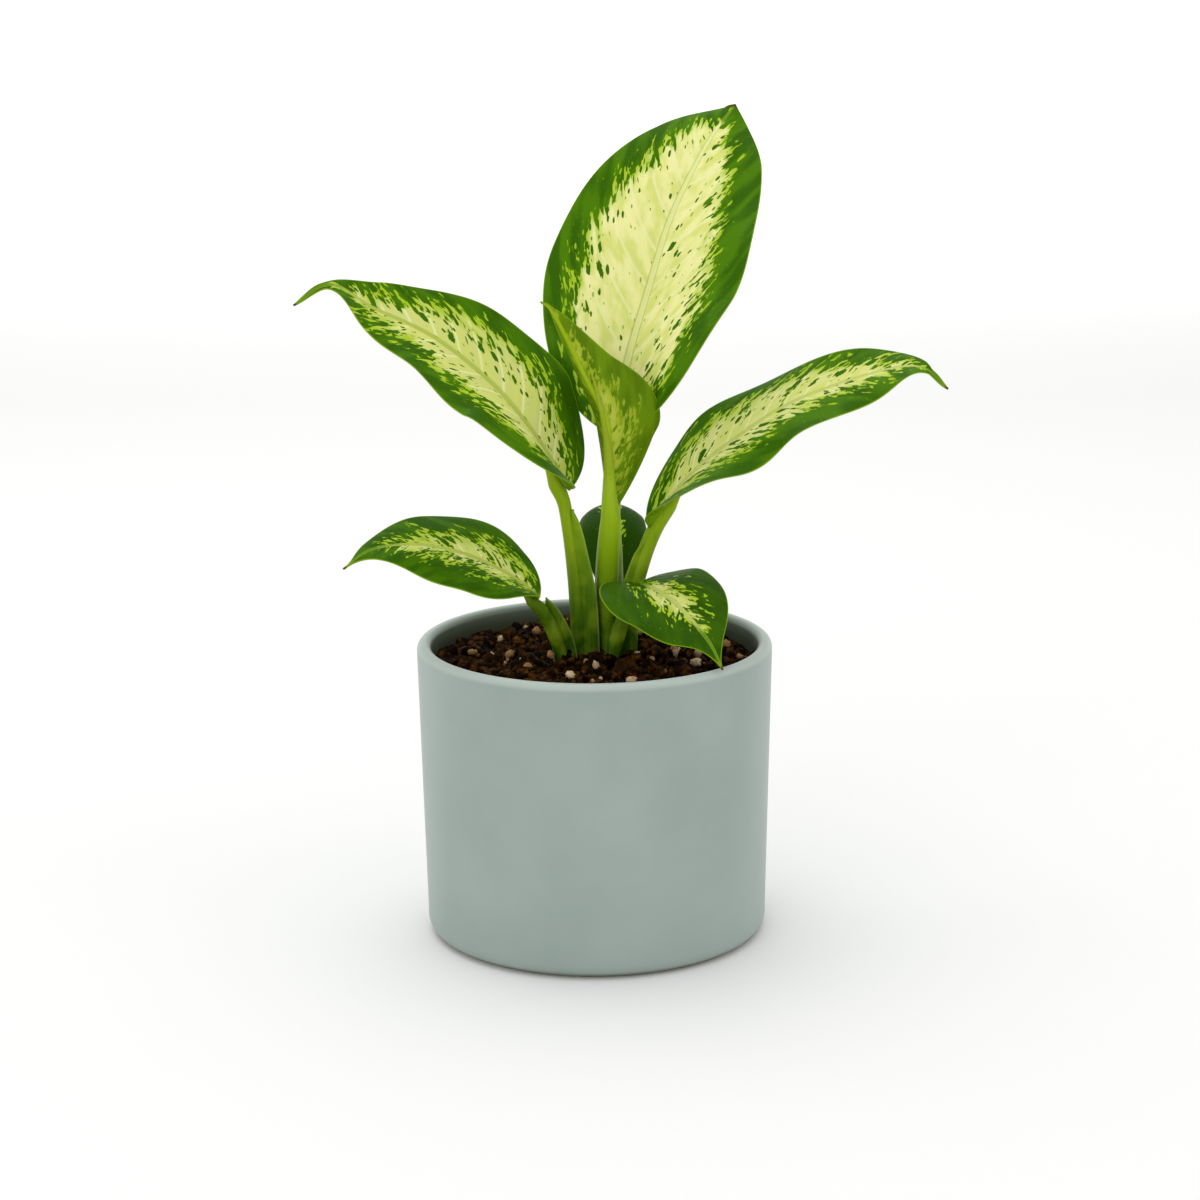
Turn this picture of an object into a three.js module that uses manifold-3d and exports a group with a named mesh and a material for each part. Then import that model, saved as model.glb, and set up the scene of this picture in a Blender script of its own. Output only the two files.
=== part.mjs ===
// A young variegated dieffenbachia in a straight-sided stoneware pot, in millimetres, +Z up.
// The origin is the middle of the pot's flat base, and -Y is the side that the tallest leaf faces.

import * as THREE from 'three';
import { mergeVertices } from 'three/addons/utils/BufferGeometryUtils.js';
import Module from 'manifold-3d';

const wasm = await Module();
wasm.setup();

// ---- driving dimensions ----

const GAP = 0.3; // clearance between two pieces that touch

const POT = {
  height: 101,
  rimRadius: 60,
  baseRadius: 58,
  footRound: 5.5,
  wall: 4.8,
  rimRound: 2.3,
  floor: 6,
  innerRound: 9,
  sectors: 48,
  arcSteps: 2,
};

const SOIL = {
  wallHeight: 93.5, // the surface at the pot's wall
  crownHeight: 96, // and in the middle
  rings: 7,
  sectors: 24,
  roughness: 0.9,
  chips: 44,
  chipRadius: [2.6, 4.4],
  grains: 24,
  grainRadius: [1.2, 2.1],
  sunk: 0.1, // the part of a chip's radius by which its middle lies under the surface
  seed: 11,
};

const CANE = { at: [4.4, 3], radius: 4, bottom: 66, top: 88, sides: 12 };

const SHEET = {
  thickness: 0.8,
  leastHalfWidth: 0.9,
  flatBelow: 3.5,
  rib: 1.4, // how far the midrib stands out below, full from ribStart on and gone at the tip
  ribStart: 0.07,
  ribTaper: 0.7,
  cupFade: 14, // the power of 1 - t by which the cup, a steeper fold at the base, dies away
  endDensity: 0.7, // 0 spaces the rows evenly, 1 as the cosine does, closest at the two ends
};
const LOBE = { at: 0.08, start: 0.012 }; // where along the blade its basal lobes reach back furthest
const BLADE_ROWS = 16;
const SHEATH = { rows: 6, columns: 6, evenness: 4, closing: 0.8 };
const STALK = { rows: 8, sides: 8 };

// A leaf's midrib is given by stations from the base of the blade to its tip. Seen from above with
// the tip pointing away, the halves are left and right, and each value in a list of three holds at
// the base, half-way and at the tip, in degrees: fold is how steeply a half rises from the midrib,
// curl how far it bends on towards the margin, roll how the whole blade turns about its midrib.
// share is the half's part of halfWidth, and a half's own lobe stands in for the blade's. drip is
// the part of the length that is the narrow tip.
const LEAVES = {
  top: {
    midrib: [[8, 10, 170], [12.5, 15.5, 193.5], [19.5, 24.5, 216], [27.5, 32, 240],
      [39.5, 39.5, 263], [49.5, 46.5, 276]],
    face: [0, -1, 0.3],
    halfWidth: 37.5, widest: 0.44, taper: 0.95, lobe: 2.6, drip: 0, tail: 1,
    roll: [-21, -17, -7],
    right: { share: 1.05, fold: [30, 24, 13], curl: [1, 1, 1] },
    left: { share: 0.97, fold: [14, 12, -30], curl: [-12, -13, -17] },
    wave: { height: 0.8, count: 3.5, phase: 0.4 },
    columns: 8,
    green: '#8fb84a',
    stalk: {
      path: [[4.5, 10, 74], [4.8, 10, 100], [5.4, 9.8, 130], [6.3, 10.2, 150], [7.6, 12.6, 166],
        [9.9, 15, 178]],
      face: [0, -1, 0],
      radii: [3.4, 3.4, 3.3, 3.2, 2.8, 1.7],
    },
    sheath: {
      path: [[4.5, 13, 91], [4.9, 12.9, 110], [5.4, 12.5, 130], [6, 12.2, 152]],
      face: [0, -1, 0],
      halfWidth: 12.5,
      right: { share: 1, fold: [8, 8, 8], curl: [115, 115, 110] },
      left: { share: 1, fold: [8, 8, 8], curl: [115, 115, 110] },
    },
  },
  left: {
    midrib: [[-8.6, -1.2, 153.2], [-22.5, -5, 176], [-35, -3.5, 190.5], [-52.5, -5, 205],
      [-71.5, -7.5, 215], [-85, -12, 223.5], [-96.5, -16, 217.5]],
    face: [0.4, -0.6, 0.7],
    halfWidth: 27.5, widest: 0.28, taper: 1.3, lobe: 3.6, drip: 0.12, tail: 4,
    roll: [12, -2, 2],
    right: { share: 0.93, fold: [21, 18, 16], curl: [-11, -13, -14] },
    left: { share: 1.07, fold: [52, 17, 20], curl: [-6, -12, -11], cup: 26, lobe: 0.6 },
    wave: { height: 1.1, count: 4, phase: 2.2 },
    columns: 6,
    green: '#7fae3c',
    stalk: {
      path: [[-4.6, 1.5, 74], [-4.6, 1.5, 98], [-5.2, 1.5, 115], [-6.9, 1.4, 131],
        [-8.9, 1, 144], [-10.1, 0.7, 149.5], [-12.5, 0.2, 155], [-17, -2.6, 166]],
      face: [1, -0.2, 0.3],
      radii: [3.5, 3.5, 3.3, 2.8, 2.4, 2.5, 2.7, 1.3],
    },
    sheath: {
      path: [[-7.4, 1.5, 91], [-7.5, 1.5, 104], [-7.8, 1.5, 116], [-8.2, 0.9, 130], [-6.8, -1, 146]],
      face: [1, -0.2, 0],
      halfWidth: 11,
      right: { share: 0.75, fold: [52, 52, 66], curl: [30, 30, 10] },
      left: { share: 0.94, fold: [56, 56, 60], curl: [40, 40, 20] },
    },
  },
  right: {
    midrib: [[18.6, -1.4, 140], [34, -2.5, 158.5], [48, -3, 170], [66, -5, 182], [91, -9.5, 192],
      [107, -13.5, 195], [116, -17.5, 188.5]],
    face: [-0.35, -0.38, 0.88],
    halfWidth: 20.3, widest: 0.4, taper: 1.02, lobe: 1.1, drip: 0.1, tail: 3.8,
    roll: [-2, 0, -2],
    right: { share: 1.09, fold: [33, 7, 21], curl: [-10, -17, -12], cup: 50 },
    left: { share: 0.98, fold: [23, 12, 19], curl: [-9, -13, -11] },
    wave: { height: 1.6, count: 3, phase: 3.4 },
    columns: 6,
    green: '#7fae3c',
    stalk: {
      path: [[11.6, 0.5, 74], [11.2, 0.5, 98], [12.5, 0.7, 114], [16, 0.5, 127.5],
        [20.2, 0, 138.3], [25, -1, 146.6], [30.3, -1.6, 153.2]],
      face: [-1, -0.2, 0.3],
      radii: [3.4, 3.4, 3.3, 3, 2.8, 2.7, 1.3],
    },
    sheath: {
      path: [[14, 0.5, 91], [14.1, 0.5, 100], [15, 0.7, 112], [16.4, 0.3, 124], [17, -1.4, 136]],
      face: [-1, -0.2, 0],
      halfWidth: 9.5,
      right: { share: 0.9, fold: [56, 56, 60], curl: [40, 40, 20] },
      left: { share: 0.65, fold: [52, 52, 66], curl: [30, 30, 10] },
    },
  },
  young: {
    midrib: [[5.5, 0, 142.5], [5, -6.5, 168.5], [4, -8.5, 179], [-2.5, -11, 193], [-12, -12, 213],
      [-16.5, -12, 217.5]],
    face: [0.1, 1, 0.2],
    halfWidth: 14.1, widest: 0.39, taper: 1.65, lobe: 0, drip: 0.12, tail: 2,
    roll: [-3, 0, 6],
    right: { share: 0.63, fold: [51, 45, 38], curl: [22, 20, 18] },
    left: { share: 1.37, fold: [14, 13, 15], curl: [30, 30, 31] },
    wave: { height: 0.3, count: 2, phase: 0 },
    columns: 6,
    green: '#a3b83c',
    stalk: {
      path: [[4.4, 3, 88.4], [4.4, 3, 104], [4.5, 2.4, 120], [5.1, 0.5, 133], [5.8, -2, 142.5],
        [5.6, -3.8, 151]],
      face: [0, 1, 0],
      radii: [3.3, 3.5, 3.7, 3.7, 3.4, 2.3],
    },
  },
  lowleft: {
    midrib: [[-19, -9, 118], [-28, -9, 125], [-42.5, -11.5, 133], [-58.5, -16, 137.5],
      [-73, -20.5, 137], [-82, -26, 132]],
    face: [0.1, -0.4, 0.9],
    halfWidth: 18.6, widest: 0.39, taper: 2, lobe: 2.7, drip: 0, tail: 1.9,
    roll: [2, -3, 2],
    right: { share: 0.97, fold: [21, 12, 7], curl: [-12, -17, -18] },
    left: { share: 1.03, fold: [33, 5, 11], curl: [-11, -18, -17], cup: 40 },
    wave: { height: 0.7, count: 3, phase: 1 },
    columns: 6,
    green: '#7fae3c',
    stalk: {
      path: [[-10.8, -4.5, 74], [-10.8, -4.5, 94], [-13, -6, 103.5], [-16.8, -7.3, 112],
        [-20.2, -7.7, 115.8], [-23.8, -8, 119]],
      face: [0.7, 0.1, 0.7],
      radii: [2.7, 2.7, 2.6, 2.5, 2.2, 1.3],
    },
    sheath: {
      path: [[-9, -4.6, 91], [-9.2, -4.8, 97], [-10.8, -5.4, 103.5], [-13.3, -6, 110.5],
        [-16.1, -6.2, 117]],
      face: [-0.2, -0.95, 0.2],
      halfWidth: 3.4,
      right: { share: 1, fold: [4, 4, 4], curl: [-30, -30, -20] },
      left: { share: 1, fold: [4, 4, 4], curl: [-30, -30, -20] },
    },
  },
  front: {
    midrib: [[16, -7.5, 121.5], [21.5, -17.5, 121], [28, -26, 118], [34, -35, 113],
      [38, -40.5, 108.5], [41.5, -45, 101.8]],
    face: [0.1, -0.4, 0.9],
    halfWidth: 19.5, widest: 0.28, taper: 1.65, lobe: 7.2, drip: 0, tail: 2,
    roll: [-3, 6, 0],
    right: { share: 1.05, fold: [18, 8, 9], curl: [-12, -16, -16] },
    left: { share: 0.95, fold: [11, 12, 7], curl: [-14, -13, -16] },
    wave: { height: 0.6, count: 2.5, phase: 0.6 },
    columns: 6,
    green: '#7fae3c',
    stalk: {
      path: [[5.6, -7.4, 74], [5.6, -7.4, 95], [7.8, -8, 104], [11, -7.9, 112], [15, -8.2, 117.4],
        [18.4, -12, 118.8]],
      face: [0, 0.9, 0.4],
      radii: [2.6, 2.6, 2.6, 2.5, 2.1, 1.3],
    },
  },
  back: {
    midrib: [[6.8, 18.5, 111], [6.9, 24, 125], [6.7, 32, 134.6], [6, 43, 138.3], [5, 55, 133.8],
      [4, 66, 122.5]],
    face: [0, -0.2, 1],
    halfWidth: 13.2, widest: 0.45, taper: 1, lobe: 2, drip: 0, tail: 2,
    roll: [0, 0, 0],
    right: { share: 1, fold: [4, -5, -4], curl: [-24, -40, -36] },
    left: { share: 1, fold: [4, -5, -4], curl: [-24, -40, -36] },
    wave: { height: 0.6, count: 3, phase: 2 },
    columns: 6,
    green: '#6f9c38',
    stalk: {
      path: [[5, 18.5, 74], [5, 18.5, 92], [5.8, 19.6, 102], [6.5, 21.2, 110], [6.5, 22.8, 115.5]],
      face: [0, -0.9, 0.3],
      radii: [2.7, 2.7, 2.6, 2.3, 1.3],
    },
  },
};

const FINISH = {
  glaze: { color: '#a1afa7', roughness: 0.55 },
  mix: { color: '#3a2413', roughness: 0.95 },
  cane: { color: '#7c7a34', roughness: 0.7 },
  blade: { color: '#4f8a1e', roughness: 0.4 },
  youngBlade: { color: '#86a32c', roughness: 0.45 },
};

// ---- closed solids ----

// A row of rings, each a closed loop of an even number of points that runs right-handed about the
// direction of travel, joined into one closed skin. Point k faces point count-1-k, which is how the
// two ends are closed. From mirrorFrom on, the squares are cut along their other diagonal, so the
// two faces of a thin sheet are split alike.
function skin(rings, mirrorFrom = Infinity) {
  const count = rings[0].length;
  const positions = rings.flat().flatMap((point) => [point.x, point.y, point.z]);
  const index = [];
  const at = (row, k) => row * count + (k % count);
  for (let row = 0; row < rings.length - 1; row += 1) {
    for (let k = 0; k < count; k += 1) {
      const corners = [at(row, k), at(row, k + 1), at(row + 1, k + 1), at(row + 1, k)];
      const [a, b, c, d] = corners;
      index.push(...(k >= mirrorFrom ? [a, b, c, a, c, d] : [a, b, d, b, c, d]));
    }
  }
  const last = rings.length - 1;
  for (let k = 0; k < count / 2 - 1; k += 1) {
    const across = count - 1 - k;
    index.push(at(0, k), at(0, across), at(0, k + 1), at(0, k + 1), at(0, across), at(0, across - 1));
    index.push(at(last, k), at(last, k + 1), at(last, across));
    index.push(at(last, k + 1), at(last, across - 1), at(last, across));
  }
  return solidFrom(positions, index);
}

function solidFrom(positions, index) {
  const mesh = new wasm.Mesh({
    numProp: 3,
    vertProperties: Float32Array.from(positions),
    triVerts: Uint32Array.from(index),
  });
  mesh.merge();
  return new wasm.Manifold(mesh);
}

// The solid of a three.js geometry, which is reduced to its positions first.
function solidOf(geometry) {
  geometry.deleteAttribute('normal');
  geometry.deleteAttribute('uv');
  const merged = mergeVertices(geometry, 1e-4);
  return solidFrom(merged.attributes.position.array, merged.index.array);
}

function geometryOf(solid) {
  const mesh = solid.getMesh();
  const geometry = new THREE.BufferGeometry();
  geometry.setAttribute('position', new THREE.BufferAttribute(Float32Array.from(mesh.vertProperties), 3));
  geometry.setIndex(new THREE.BufferAttribute(Uint32Array.from(mesh.triVerts), 1));
  geometry.computeVertexNormals();
  return geometry;
}

// The largest of the bodies that a cut leaves behind.
function mainBody(solid) {
  const bodies = solid.decompose();
  bodies.sort((a, b) => b.volume() - a.volume());
  return bodies[0];
}

// ---- leaves ----

const { degToRad, lerp, clamp } = THREE.MathUtils;
const vector = (values) => new THREE.Vector3(...values);

function curveThrough(points) {
  return new THREE.CatmullRomCurve3(points.map(vector), false, 'catmullrom', 0.5);
}

// The value at t of the parabola through the values at 0, a half and 1.
function blend([first, middle, last], t) {
  return first * (1 - t) * (1 - 2 * t) + 4 * middle * t * (1 - t) + last * t * (2 * t - 1);
}

// The direction of travel, the upper side and the right-hand side at t, after a roll in degrees.
function frameAt(curve, face, roll, t) {
  const along = curve.getTangent(t);
  const up = vector(face).addScaledVector(along, -along.dot(vector(face))).normalize();
  up.applyAxisAngle(along, degToRad(-roll));
  const right = new THREE.Vector3().crossVectors(along, up);
  return { point: curve.getPoint(t), along, up, right };
}

// Half the width of a blade: a bump that is highest at widest and falls off by taper, and a narrow
// tail that the tip runs out in.
function bladeHalfWidth(leaf, t) {
  const rise = (leaf.taper * leaf.widest) / (1 - leaf.widest);
  const s = clamp(t / (1 - leaf.drip), 0, 1);
  const bump = (s / leaf.widest) ** rise * ((1 - s) / (1 - leaf.widest)) ** leaf.taper;
  const tail = leaf.tail * Math.sqrt(1 - t) * t;
  return Math.cbrt((leaf.halfWidth * bump) ** 3 + tail ** 3);
}

// Half the width of a sheath: even from its foot up, then closing to a point.
function sheathHalfWidth(sheath, t) {
  return sheath.halfWidth * (1 - t ** SHEATH.evenness) ** SHEATH.closing;
}

// A place on a sheet: t runs from base to tip, u from -1 at the left margin to 1 at the right. From
// the midrib, each half leaves at its fold angle and bends on by its curl angle on a circular arc,
// and a half narrower than flatBelow lies flatter. normal is square to the arc.
function sheetPlace(sheet, t, u) {
  const { point, along, up, right } = frameAt(sheet.curve, sheet.face, blend(sheet.roll, t), t);
  const half = u < 0 ? sheet.left : sheet.right;
  const across = Math.abs(u);
  const reach = Math.max(sheet.widthAt(t) * half.share, SHEET.leastHalfWidth);
  const bend = degToRad(Math.min(1, reach / SHEET.flatBelow));
  const cup = (half.cup ?? 0) * (1 - t) ** SHEET.cupFade;
  const fold = bend * (blend(half.fold, t) + cup);
  const curl = bend * blend(half.curl, t);
  const slope = fold + curl * across;
  const lateral = (reach / curl) * (Math.sin(slope) - Math.sin(fold));
  const ripple = sheet.wave.height * Math.sin(Math.PI * t) * across ** 3
    * Math.sin(2 * Math.PI * sheet.wave.count * t + sheet.wave.phase + Math.sign(u));
  const rise = (reach / curl) * (Math.cos(fold) - Math.cos(slope)) + ripple;
  const reachBack = (t + LOBE.start) / LOBE.at;
  const lobe = (half.lobe ?? sheet.lobe) * reachBack * Math.exp(1 - reachBack) * across ** 1.5;
  point.addScaledVector(right, Math.sign(u) * lateral)
    .addScaledVector(up, rise)
    .addScaledVector(along, -lobe);
  const normal = up.clone().multiplyScalar(u === 0 ? 1 : Math.cos(slope))
    .addScaledVector(right, -Math.sign(u) * Math.sin(slope));
  const outward = right.multiplyScalar(Math.sign(u) * Math.cos(slope))
    .addScaledVector(up, Math.sin(slope));
  return { point, along, normal, outward };
}

// -1 on the first row, 1 on the last, 0 between: the way in which a swollen piece grows there.
function endSide(row, rows) {
  if (row === 0) return -1;
  return row === rows ? 1 : 0;
}

// A sheet of even thickness, with a rib under its middle. swell makes it larger all round, and at
// its ends by twice as much.
function sheetSolid(sheet, swell = 0) {
  const rings = [];
  const { rows, columns } = sheet;
  for (let row = 0; row <= rows; row += 1) {
    const t = lerp(row / rows, (1 - Math.cos((Math.PI * row) / rows)) / 2, SHEET.endDensity);
    const upper = [];
    const lower = [];
    for (let column = 0; column <= columns; column += 1) {
      const u = (2 * column) / columns - 1;
      const { point, along, normal, outward } = sheetPlace(sheet, t, u);
      const ribHere = sheet.rib * Math.min(1, t / SHEET.ribStart) * (1 - t) ** SHEET.ribTaper;
      const rib = u === 0 ? ribHere : 0;
      point.addScaledVector(outward, Math.abs(u) === 1 ? swell : 0);
      point.addScaledVector(along, 2 * swell * endSide(row, rows));
      upper.push(point.clone().addScaledVector(normal, SHEET.thickness / 2 + swell));
      lower.unshift(point.clone().addScaledVector(normal, -SHEET.thickness / 2 - rib - swell));
    }
    rings.push([...upper, ...lower]);
  }
  return skin(rings, columns + 1);
}

function bladeSheet(leaf) {
  return {
    ...leaf,
    curve: curveThrough(leaf.midrib),
    widthAt: (t) => bladeHalfWidth(leaf, t),
    rows: BLADE_ROWS,
    rib: SHEET.rib,
  };
}

function sheathSheet(sheath) {
  return {
    ...sheath,
    curve: curveThrough(sheath.path),
    widthAt: (t) => sheathHalfWidth(sheath, t),
    roll: [0, 0, 0],
    wave: { height: 0, count: 0, phase: 0 },
    lobe: 0,
    rows: SHEATH.rows,
    columns: SHEATH.columns,
    rib: 0,
  };
}

// A round stalk that ends under the blade's midrib, with a radius for each station of its path.
function petioleSolid({ path, face, radii }, swell = 0) {
  const curve = curveThrough(path);
  const thickness = new THREE.SplineCurve(radii.map((radius, i) => new THREE.Vector2(i, radius)));
  const rings = [];
  for (let row = 0; row <= STALK.rows; row += 1) {
    const t = row / STALK.rows;
    const { point, along, up, right } = frameAt(curve, face, 0, t);
    const size = thickness.getPoint(t).y + swell;
    const ring = [];
    for (let side = 0; side < STALK.sides; side += 1) {
      const angle = (2 * Math.PI * (side + 0.5)) / STALK.sides;
      ring.push(point.clone().addScaledVector(up, size * Math.cos(angle))
        .addScaledVector(right, size * Math.sin(angle))
        .addScaledVector(along, swell * endSide(row, STALK.rows)));
    }
    rings.push(ring);
  }
  return skin(rings);
}

function stalkSolid(leaf, swell = 0) {
  const petiole = petioleSolid(leaf.stalk, swell);
  return leaf.sheath ? petiole.add(sheetSolid(sheathSheet(leaf.sheath), swell)) : petiole;
}

// ---- pot and soil ----

// The turned section of the pot, from the middle of its base out, up and back in to its floor.
function potProfile() {
  const { height, rimRadius, baseRadius, footRound, wall, rimRound, floor, innerRound } = POT;
  const inner = rimRadius - wall;
  const section = new THREE.Path();
  section.moveTo(0, 0);
  section.lineTo(baseRadius - footRound, 0);
  section.absarc(baseRadius - footRound, footRound, footRound, -Math.PI / 2, 0);
  section.lineTo(rimRadius, height - rimRound);
  section.absarc(rimRadius - rimRound, height - rimRound, rimRound, 0, Math.PI / 2);
  section.absarc(inner + rimRound, height - rimRound, rimRound, Math.PI / 2, Math.PI);
  section.lineTo(inner, floor + innerRound);
  section.absarc(inner - innerRound, floor + innerRound, innerRound, 0, -Math.PI / 2, true);
  section.lineTo(0, floor);
  return section.getPoints(POT.arcSteps);
}

// Evenly spread pseudo-random numbers in 0..1 from a whole-number seed.
function randomFrom(seed) {
  let state = seed;
  return () => {
    state = (Math.imul(state, 1664525) + 1013904223) >>> 0;
    return state / 2 ** 32;
  };
}

// The height of the mix at a distance from the middle: a low mound.
function soilHeight(distance) {
  const inner = POT.rimRadius - POT.wall;
  return lerp(SOIL.crownHeight, SOIL.wallHeight, (distance / inner) ** 2);
}

// A turned plug that fills the pot, with its top roughened point by point.
function soilBody(random) {
  const outer = POT.rimRadius - POT.wall - GAP;
  const bottom = POT.floor + GAP;
  const round = POT.innerRound;
  const section = new THREE.Path();
  section.moveTo(0, bottom);
  section.lineTo(outer - round, bottom);
  section.absarc(outer - round, bottom + round, round, -Math.PI / 2, 0);
  section.lineTo(outer, SOIL.wallHeight);
  const points = section.getPoints(POT.arcSteps);
  for (let ring = SOIL.rings - 1; ring >= 0; ring -= 1) {
    const distance = (outer * ring) / SOIL.rings;
    points.push(new THREE.Vector2(distance, soilHeight(distance)));
  }
  const geometry = new THREE.LatheGeometry(points, SOIL.sectors).rotateX(Math.PI / 2);
  geometry.deleteAttribute('normal');
  geometry.deleteAttribute('uv');
  const plug = mergeVertices(geometry, 1e-3);
  const position = plug.attributes.position;
  for (let i = 0; i < position.count; i += 1) {
    const distance = Math.hypot(position.getX(i), position.getY(i));
    if (position.getZ(i) > SOIL.wallHeight - 1 && distance < outer - 1) {
      position.setZ(i, position.getZ(i) + SOIL.roughness * (2 * random() - 1));
    }
  }
  return solidOf(plug);
}

// Angular chips of bark and smaller perlite grains, partly sunk in the top of the mix.
function soilLumps(random) {
  const reach = POT.rimRadius - POT.wall - GAP - SOIL.chipRadius[1];
  const lumps = [];
  for (let i = 0; i < SOIL.chips + SOIL.grains; i += 1) {
    const isChip = i < SOIL.chips;
    const [least, most] = isChip ? SOIL.chipRadius : SOIL.grainRadius;
    const size = lerp(least, most, random());
    const lump = isChip ? new THREE.IcosahedronGeometry(size, 0) : new THREE.OctahedronGeometry(size, 0);
    lump.scale(1, lerp(0.65, 1, random()), lerp(0.55, 0.85, random()));
    lump.rotateX(random() * Math.PI).rotateZ(random() * Math.PI * 2);
    const distance = reach * Math.sqrt(random());
    const angle = random() * Math.PI * 2;
    const sunk = SOIL.sunk * (isChip ? size : 0);
    lump.translate(distance * Math.cos(angle), distance * Math.sin(angle), soilHeight(distance) - sunk);
    lumps.push(solidOf(lump));
  }
  return lumps;
}

// ---- the pieces ----

const group = new THREE.Group();

function addPiece(name, solid, { color, roughness }) {
  const material = new THREE.MeshStandardMaterial({ color, roughness, metalness: 0 });
  const mesh = new THREE.Mesh(geometryOf(solid), material);
  mesh.name = name;
  group.add(mesh);
}

const potGeometry = new THREE.LatheGeometry(potProfile(), POT.sectors).rotateX(Math.PI / 2);
addPiece('pot', solidOf(potGeometry), FINISH.glaze);

const names = Object.keys(LEAVES);
const swollenBlades = names.map((name) => sheetSolid(bladeSheet(LEAVES[name]), GAP));
const swollenStalks = names.map((name) => stalkSolid(LEAVES[name], GAP));

// The cut-off cane that the youngest stalk grows out of, upright inside the mix.
const caneHeight = CANE.top - CANE.bottom;
function caneSolid(swell = 0) {
  const radius = CANE.radius + swell;
  const cane = new THREE.CylinderGeometry(radius, radius, caneHeight + 2 * swell, CANE.sides);
  cane.rotateX(Math.PI / 2).translate(CANE.at[0], CANE.at[1], (CANE.bottom + CANE.top) / 2);
  return solidOf(cane);
}
const cane = swollenStalks.reduce((rest, stalk) => rest.subtract(stalk), caneSolid());
addPiece('stem_cane', mainBody(cane), FINISH.cane);

for (const [i, name] of names.entries()) {
  const leaf = LEAVES[name];
  const bladeFinish = name === 'young' ? FINISH.youngBlade : FINISH.blade;
  addPiece(`blade_${name}`, sheetSolid(bladeSheet(leaf)), bladeFinish);
  let stalk = stalkSolid(leaf);
  swollenBlades.forEach((blade) => {
    stalk = stalk.subtract(blade);
  });
  swollenStalks.slice(0, i).forEach((earlier) => {
    stalk = stalk.subtract(earlier);
  });
  addPiece(`stalk_${name}`, mainBody(stalk), { color: leaf.green, roughness: 0.5 });
}

const random = randomFrom(SOIL.seed);
const ground = soilLumps(random).reduce((whole, lump) => whole.add(lump), soilBody(random));
const holes = [...swollenStalks, caneSolid(GAP)];
const planted = holes.reduce((whole, hole) => whole.subtract(hole), ground);
addPiece('soil', mainBody(planted), FINISH.mix);

export default group;
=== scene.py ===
# %% [markdown]
# # A young dieffenbachia in a stoneware pot
# This lesson takes a measured model of a potted plant, in which every leaf is a coarse thin solid,
# and gives it the surfaces and finishes that the eye sees: quilted leaves with a cream middle,
# fleshy stalks, crumbly potting mix and a matt glazed pot. The model comes first, because each new
# piece has to sit exactly where its coarse solid is.

import math

import bpy
import numpy as np
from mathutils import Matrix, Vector


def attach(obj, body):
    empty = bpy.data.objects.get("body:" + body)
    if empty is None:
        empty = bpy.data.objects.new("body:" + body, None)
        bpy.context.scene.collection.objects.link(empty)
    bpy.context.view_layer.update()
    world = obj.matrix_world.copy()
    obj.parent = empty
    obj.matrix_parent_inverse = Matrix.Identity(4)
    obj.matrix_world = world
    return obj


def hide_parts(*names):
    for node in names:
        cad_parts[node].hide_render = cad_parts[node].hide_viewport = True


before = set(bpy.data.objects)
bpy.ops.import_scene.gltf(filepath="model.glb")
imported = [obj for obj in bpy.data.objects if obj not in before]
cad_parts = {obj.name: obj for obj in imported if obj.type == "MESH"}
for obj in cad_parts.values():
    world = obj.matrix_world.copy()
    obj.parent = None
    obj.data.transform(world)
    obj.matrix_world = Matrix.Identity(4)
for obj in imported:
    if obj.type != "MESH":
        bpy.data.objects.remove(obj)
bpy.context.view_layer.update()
MM = 0.001  # the values below are in millimetres, Blender's are in metres
rng = np.random.default_rng(7)
print("nodes:", ", ".join(sorted(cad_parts)))

# %% [markdown]
# ## The camera
# A picture can only be compared with the real thing from the same place. The pot's rim is an
# ellipse in the picture, and its proportions give the camera's height; how much the pot narrows
# towards its foot gives the distance. A long lens of 90 mm, one metre away, fits both.

# %% Place the camera
TILT = math.radians(13.7)  # how far the camera looks down
LEAN = math.radians(-0.5)
DISTANCE = 1.012
LOOK_AT = np.array([0.002, 0.0, 0.1145])

camera = bpy.data.objects.new("camera", bpy.data.cameras.new("camera"))
bpy.context.collection.objects.link(camera)
camera.data.lens = 90
camera.data.sensor_width = 36
camera.location = LOOK_AT + DISTANCE * np.array([0, -math.cos(TILT), math.sin(TILT)])
camera.rotation_mode = "ZYX"  # first the lean about the line of sight, then the tilt
camera.rotation_euler = (math.pi / 2 - TILT, 0, LEAN)
bpy.context.scene.camera = camera
bpy.context.scene.view_settings.view_transform = "Standard"
print("camera at", np.round(camera.location, 3))

# %% [markdown]
# ## Colours and nodes
# Colours are given as sRGB hex codes, while the renderer counts light. One function turns the
# first into the second. Every material below is a small graph of nodes, and one more function adds
# a node, sets it up and connects it. Two patterns that come back in most of the finishes have a
# function too: one colour laid over another where a value says so, and the end of a graph, with its
# relief.

# %% Helpers for materials
SMOOTH = {"interpolation_type": "SMOOTHSTEP"}
COLOURS = {"data_type": "RGBA"}


def linear(code):
    """sRGB to linear light: c / 12.92 below 0.04045, and ((c + 0.055) / 1.055) ^ 2.4 above."""
    c = np.array([int(code[i : i + 2], 16) for i in (1, 3, 5)]) / 255
    light = np.where(c <= 0.04045, c / 12.92, ((c + 0.055) / 1.055) ** 2.4)
    return (*light.tolist(), 1.0)


def add(tree, kind, inputs=None, **settings):
    """One node of a kind, with its settings; an input is a value or the output that feeds it."""
    node = tree.nodes.new("ShaderNode" + kind)
    for name, value in settings.items():
        setattr(node, name, value)
    for socket, value in (inputs or {}).items():
        if isinstance(value, bpy.types.NodeSocket):
            tree.links.new(value, node.inputs[socket])
        else:
            node.inputs[socket].default_value = value
    return node.outputs


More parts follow.
